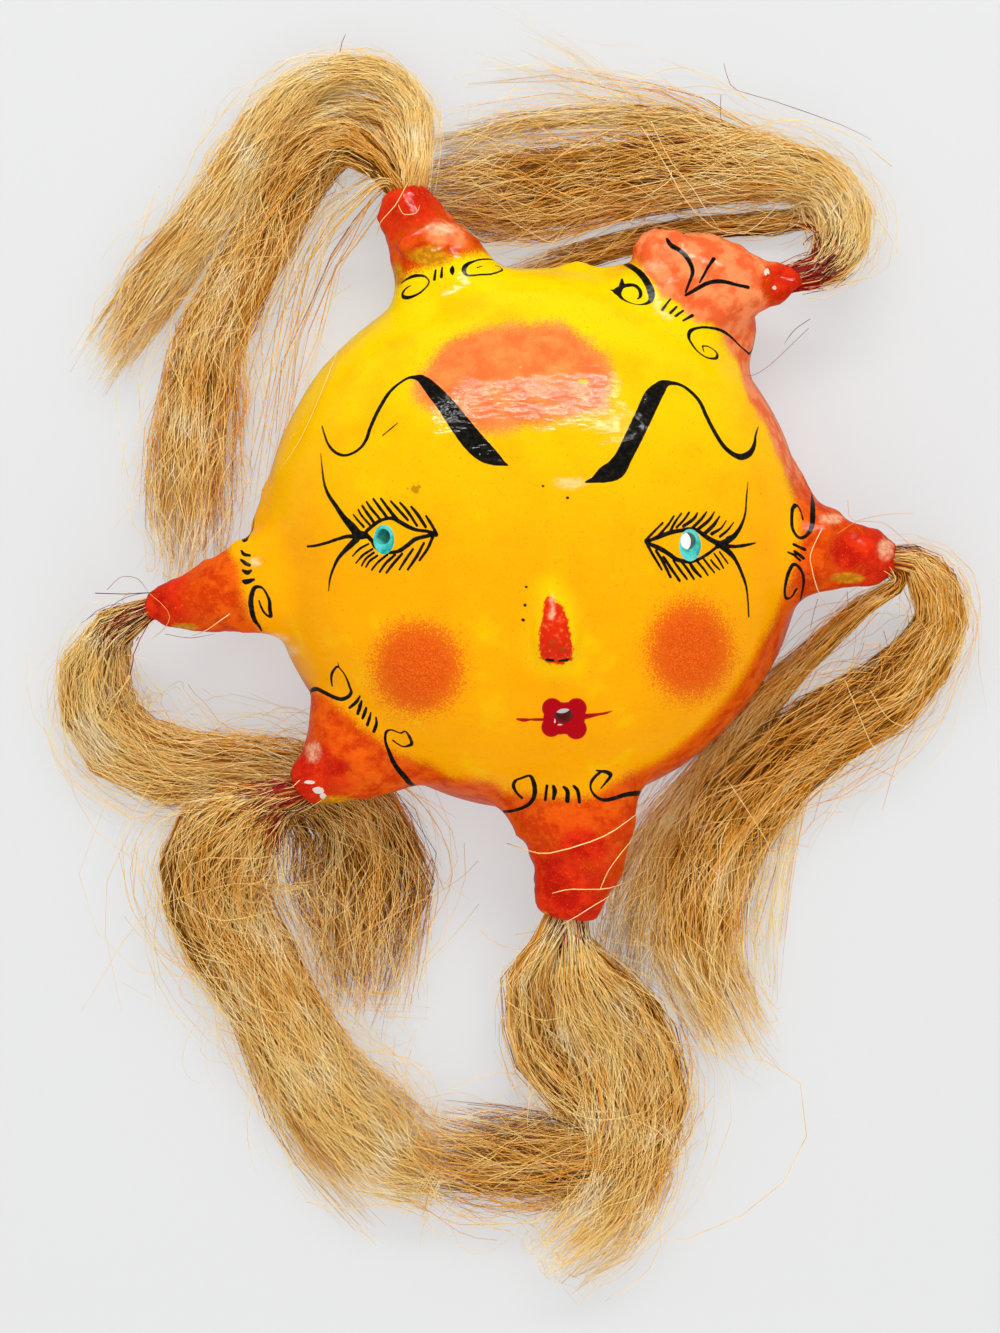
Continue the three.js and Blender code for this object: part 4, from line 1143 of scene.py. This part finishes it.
def lifted(row):
    """A single fibre over the mask or a hank, seen at each x and y on the level of the rim"""
    flat = smooth_line(row, 8)
    flat = flat[np.linspace(0, len(flat) - 1, FIBRE_POINTS).astype(int)]
    met = [surface.ray_cast(EYE, (Vector((*at, 0)) - EYE).normalized())[0] for at in flat]
    high = np.array([spot.z + 0.6 if spot else LOOSE_HEIGHT for spot in met])
    # It spans hollows, as a stiff fibre does
    spread = np.pad(high, 1, mode="edge")
    spread = np.max([spread[:-2], spread[1:-1], spread[2:]], axis=0)
    spread = np.pad(spread, 1, mode="edge")
    high = np.maximum(high, np.convolve(spread, (0.25, 0.5, 0.25), "valid"))[:, None]
    eye = np.array(EYE.xy)
    return np.hstack([eye + (flat - eye) * (1 - high / EYE.z), high])


def spun(name, fibres, radii):
    """Fibres as one mesh of thin three-sided tubes with closed ends"""
    section = bpy.data.curves.new("fibre section", "CURVE")
    spline = section.splines.new("POLY")
    spline.points.add(2)
    for point, turn in zip(spline.points, (0, 2, 4)):
        point.co = (math.cos(turn * math.pi / 3), math.sin(turn * math.pi / 3), 0, 1)
    spline.use_cyclic_u = True
    die = bpy.data.objects.new("fibre section", section)
    curve = bpy.data.curves.new(name, "CURVE")
    curve.dimensions = "3D"
    curve.bevel_mode = "OBJECT"
    curve.bevel_object = die
    thinning = [0.85, 0.65, 0.3]  # at the last points
    taper = np.array([1.0] * (FIBRE_POINTS - len(thinning)) + thinning)
    for line, radius in zip(fibres, radii):
        spline = curve.splines.new("POLY")
        spline.points.add(FIBRE_POINTS - 1)
        row = np.column_stack([line, np.ones(FIBRE_POINTS)]).astype(np.float32)
        spline.points.foreach_set("co", row.ravel())
        spline.points.foreach_set("radius", (radius * taper).astype(np.float32))
    held = bpy.data.objects.new(name, curve)
    for added in (held, die):
        bpy.context.scene.collection.objects.link(added)
    depsgraph = bpy.context.evaluated_depsgraph_get()
    mesh = bpy.data.meshes.new_from_object(held.evaluated_get(depsgraph))
    for done in (held, die):
        bpy.data.objects.remove(done)
    bm = bmesh.new()
    bm.from_mesh(mesh)
    bmesh.ops.holes_fill(bm, edges=[e for e in bm.edges if e.is_boundary], sides=3)
    bmesh.ops.recalc_face_normals(bm, faces=bm.faces)
    return mesh_of(bm, name)


fibre = Recipe("agave fibre")
strand = fibre.add("UVMap", {}, uv_map="OFBake")
shade = fibre.add("SeparateXYZ", {0: strand}, out=0)
place = fibre.add("Mapping", {"Vector": fibre.add("TexCoord", {}, out=3), "Scale": TO_MM})
patchy = fibre.cloud(place, 0.09, 3)
fine = fibre.cloud(place, 0.8, 2)
tone = fibre.sum(shade, fibre.swing(patchy, 0.75))
tone = fibre.sum(tone, fibre.swing(fine, 0.2))
straw = fibre.mix(fibre.ramp(tone, 0.0, 0.45), srgb(106, 52, 0), srgb(234, 156, 38))
straw = fibre.mix(fibre.ramp(tone, 0.35, 0.95), straw, srgb(255, 222, 140))
straw = fibre.mix(fibre.ramp(tone, 0.84, 1.0, 0, 0.6), straw, srgb(255, 240, 208))
stain = fibre.mix(fibre.ramp(shade, 0.94, 0.95), srgb(88, 36, 18), srgb(166, 22, 10))
straw = fibre.mix(fibre.ramp(shade, 0.89, 0.895), straw, stain)
fibre.surface(Base_Color=straw, Roughness=0.45, Specular_IOR_Level=0.06)

# Light runs from DARKEST to LIGHTEST, and from 0.9 on the same map gives the stains, brown first and then red
DARKEST, LIGHTEST = 0.02, 0.87
# The share of each hank's fibres that the paint at its root has stained, how far, and where in the stains
STAINS = {
    "upper_left": (0.15, 6, 0.9), "upper_right": (0.8, 14, 0.93), "right": (0.3, 9, 0.92),
    "bottom": (0.35, 8, 0.9), "lower_left": (0.65, 14, 0.92), "left": (0.6, 12, 0.9),
}
# No fibre sticks out farther than this from the centre of the whole
FARTHEST = (114, 151, 60)
# Single fibres that lie over the mask and the hanks: how light and how thick, and x and y on the rim's level
SINGLE_FIBRES = {
    "upper_left": [
        (0.85, 0.12, [(-28.3, 83.2), (-31.5, 77.2), (-35, 73.1), (-35.9, 69.9)]),
        (0.8, 0.1, [(-31, 77), (-29.7, 74.9), (-26.9, 75.2), (-26, 77)]),
        (0.85, 0.1, [(-37, 81.4), (-42.1, 79.1), (-46.7, 74.7), (-48.5, 66.7), (-47.6, 57.5)]),
        (0.8, 0.08, [(-44.4, 78.1), (-48.5, 72.4), (-49.4, 64.4), (-46.7, 57.5), (-41.6, 55.2)]),
        (0.85, 0.09, [(-53.6, 72.4), (-54.5, 62.1), (-52.2, 52.9), (-46.7, 50.1)]),
        (0.1, 0.1, [(-44.4, 112.2), (-43.9, 114.5), (-43, 116.5)]),
        (0.8, 0.09, [(-44.8, 43.7), (-49.4, 32.2), (-53.6, 23), (-58.2, 16.1)]),
        (0.8, 0.09, [(-59.3, 78.1), (-56.3, 66.7), (-57.7, 48.3), (-62.3, 32.2), (-66, 16.1)]),
    ],
    "upper_right": [
        (0.87, 0.13, [
            (24.8, 95.2), (30.6, 86), (35.2, 77.9), (40.9, 72.2), (48, 70.3), (52.6, 73.3), (57.2, 77.9),
        ]),
        (0.87, 0.12, [(27.1, 96.3), (31.5, 87.3), (36.3, 81.4), (39.5, 76.3), (43.2, 71)]),
        (0.1, 0.09, [(43.9, 109.6), (44.8, 106.2), (46.9, 103.4), (54.9, 101.1), (71, 95.4), (77.9, 91.9)]),
        (0.1, 0.08, [(43.2, 102.3), (43.2, 97), (44.4, 95.6)]),
        (0.05, 0.1, [(63.7, 50.8), (60.2, 48.3), (57.7, 45)]),
        (0.1, 0.07, [(63.4, 48.7), (54.7, 40.4), (50.6, 37.9), (48.7, 38.1)]),
        (0.87, 0.1, [(31.9, 85), (31, 82.3), (24.6, 78.1)]),
        (0.85, 0.09, [(-16.1, 85.5), (-14.5, 83.2), (-7.6, 77), (-3.7, 74)]),
    ],
    "right": [
        (0.87, 0.13, [(66.4, 2.5), (63.9, -3), (64.1, -6.5), (66, -12.7), (70.1, -18.4)]),
        (0.87, 0.11, [(44.8, -55.4), (48.7, -61.2), (54, -69.9), (55.6, -75.9)]),
        (0.87, 0.11, [(71.7, -32.2), (74.7, -39.6), (77.7, -46.7), (80.9, -50.6)]),
        (0.15, 0.08, [(72.2, -11.7), (72.4, -13.8), (72.6, -16.8)]),
        (0.15, 0.08, [(65.5, -13.6), (64.6, -16.6), (63.7, -20.7)]),
        (0.85, 0.1, [(80.7, -7.1), (84.4, -9.2), (89, -10.1), (93.6, -8.8)]),
        (0.5, 0.07, [(70.1, 1.6), (75.2, 4.6), (82.1, 6), (87.8, 6.2)]),
        (0.6, 0.07, [(72.4, 9.2), (73.3, 4.6), (80.2, 4.1), (85.5, 0), (86.7, -1.9)]),
        (0.87, 0.1, [(77.5, -34.5), (82.1, -41.4), (89, -43.7)]),
    ],
    "bottom": [
        (0.87, 0.15, [(-6, -69.7), (-0.7, -71.5), (3.9, -72), (13.1, -69.4), (18.8, -66.7), (25, -62.1)]),
        (0.87, 0.13, [(4.4, -81.2), (8.5, -80.3), (15.4, -80.3), (20.4, -79.1), (26.9, -75.4)]),
        (0.87, 0.12, [(15.4, -80.3), (17.7, -75.4), (22.7, -69), (26.4, -65.3)]),
        (0.87, 0.11, [(-4.2, -90.8), (6.2, -88.5), (14.2, -83.9), (20, -80.5)]),
        (0.85, 0.1, [(-6.5, -105.8), (1.6, -110.4), (13.1, -109.2), (24.6, -115)]),
        (0.8, 0.09, [(-12.2, -89.7), (-7.6, -93.1), (-0.7, -94.3), (6.2, -93.1)]),
        (0.87, 0.1, [(-3, -117.3), (3.9, -128.8), (15.4, -133.4), (26.9, -131.1)]),
    ],
    "lower_left": [
        (0.8, 0.08, [(-60.5, -39.6), (-58.2, -38.2), (-56.6, -40.9), (-57, -44.8)]),
        (0.85, 0.12, [(-65.1, -59.8), (-59.3, -63.2), (-53.6, -62.6), (-48.5, -59.8)]),
        (0.85, 0.11, [(-78.9, -66.7), (-73.1, -71.3), (-63.9, -70.1), (-55.9, -64.4)]),
        (0.85, 0.1, [(-81.2, -82.8), (-72, -87.4), (-58.2, -85.1)]),
        (0.85, 0.1, [(-53.6, -55.2), (-58.2, -59.8), (-62.8, -66.7)]),
    ],
    "left": [
        (0.93, 0.13, [(-100.7, -12.2), (-93.8, -12.4), (-90.4, -12.2), (-85.8, -12)]),
        (0.87, 0.13, [(-69.7, -17), (-72.4, -18.9), (-75, -20.7), (-78.4, -22.1)]),
        (0.2, 0.08, [(-98, -11.5), (-94.7, -8.5), (-90.8, -9), (-88.5, -12)]),
        (0.5, 0.09, [(-88.1, -12.4), (-85.1, -15), (-83.5, -17.7), (-85.1, -20.7), (-88.1, -23)]),
        (0.15, 0.08, [(-84.6, -21.6), (-78.9, -22.5), (-73.1, -21.6)]),
        (0.85, 0.1, [(-105.3, -32.2), (-99.6, -27.6), (-92.7, -26.5), (-85.8, -28.8)]),
        (0.5, 0.08, [(-92.7, -12), (-94.5, -13.8), (-92.7, -15.2), (-90.4, -13.8)]),
    ],
}
LOOSE_SHARE = 0.32
STRAY_ONE_IN = 10
FEWEST_STRAYS = 6
CENTRE = np.array(FACE_CENTRE)
FIRST_SEED = 100
for number, (hank, locks) in enumerate(LOCKS.items()):
    rng = np.random.default_rng(FIRST_SEED + number)
    tip, before = np.array(RAYS[hank][-1]), np.array(RAYS[hank][-2])
    outward = (tip - before)[:2] / np.hypot(*(tip - before)[:2])
    inside = (*(tip[:2] - outward * ROOT_DEPTH), tip[2] * 0.6)
    fibres, shades, radii = [], [], []
    for shared, count, light, thick, rows in locks:
        course = lock_course([inside] + locks[0][-1][:shared] + rows, thick, FALLS[hank])
        # Each kind of fibre, with how thick it is next to the combed ones
        kinds = (
            (1, combed(rng, course, count, light)),
            (0.7, loose(rng, course, int(count * LOOSE_SHARE), light)),
            (0.6, straying(rng, course, max(FEWEST_STRAYS, count // STRAY_ONE_IN))),
        )
        for thin, (lines, tones) in kinds:
            kept = (np.abs(lines + CENTRE) < FARTHEST).all(axis=(1, 2))
            lines, tones = lines[kept], np.clip(tones[kept], DARKEST, LIGHTEST)
            sizes = np.clip(rng.lognormal(0, 0.25, len(lines)), 0.6, 1.8)
            if shared == 0:
                share, reach, stain = STAINS[hank]
                stained = rng.uniform(0, 1, (len(lines), 1)) < share
                from_tip = np.hypot(*(lines[:, :, :2] - tip[:2]).transpose(2, 0, 1))
                stained = stained & (from_tip < reach * rng.uniform(0.5, 1.2, (len(lines), 1)))
                tones = np.where(stained, stain + rng.uniform(0, 0.07, (len(lines), 1)), tones)
            fibres.append(lines)
            shades.append(tones)
            radii.append(sizes * FIBRE_RADIUS * thin)
    for tone, radius, row in SINGLE_FIBRES[hank]:
        fibres.append(lifted(row)[None])
        shades.append(np.full((1, FIBRE_POINTS), tone))
        radii.append(np.array([radius]))
    fibres, shades, radii = np.vstack(fibres), np.vstack(shades), np.concatenate(radii) * MM
    mesh = spun("fibres_" + hank, (fibres + CENTRE) * MM, radii)
    # On the map each point of a fibre is at its shade across and its step up. The three corners of its section
    # lie a hair's breadth apart there, so that no face is without area.
    corner = np.zeros(len(mesh.loops), int)
    mesh.loops.foreach_get("vertex_index", corner)
    step = corner // 3 % FIBRE_POINTS / FIBRE_POINTS
    uvs = np.column_stack([
        shades.ravel()[corner // 3] + np.array([0, 0.003, 0.0015])[corner % 3],
        step + np.array([0, 0, 0.002])[corner % 3],
    ])
    while mesh.uv_layers:
        mesh.uv_layers.remove(mesh.uv_layers[0])
    mesh.uv_layers.new(name="OFBake").data.foreach_set("uv", uvs.ravel())
    mesh.shade_smooth()
    mesh.materials.clear()
    mesh.materials.append(fibre.material)
    tassel = bpy.data.objects.new("tassel_fibres_" + hank, mesh)
    bpy.context.scene.collection.objects.link(tassel)
    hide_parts("tassel_" + hank)
    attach(tassel, "root")
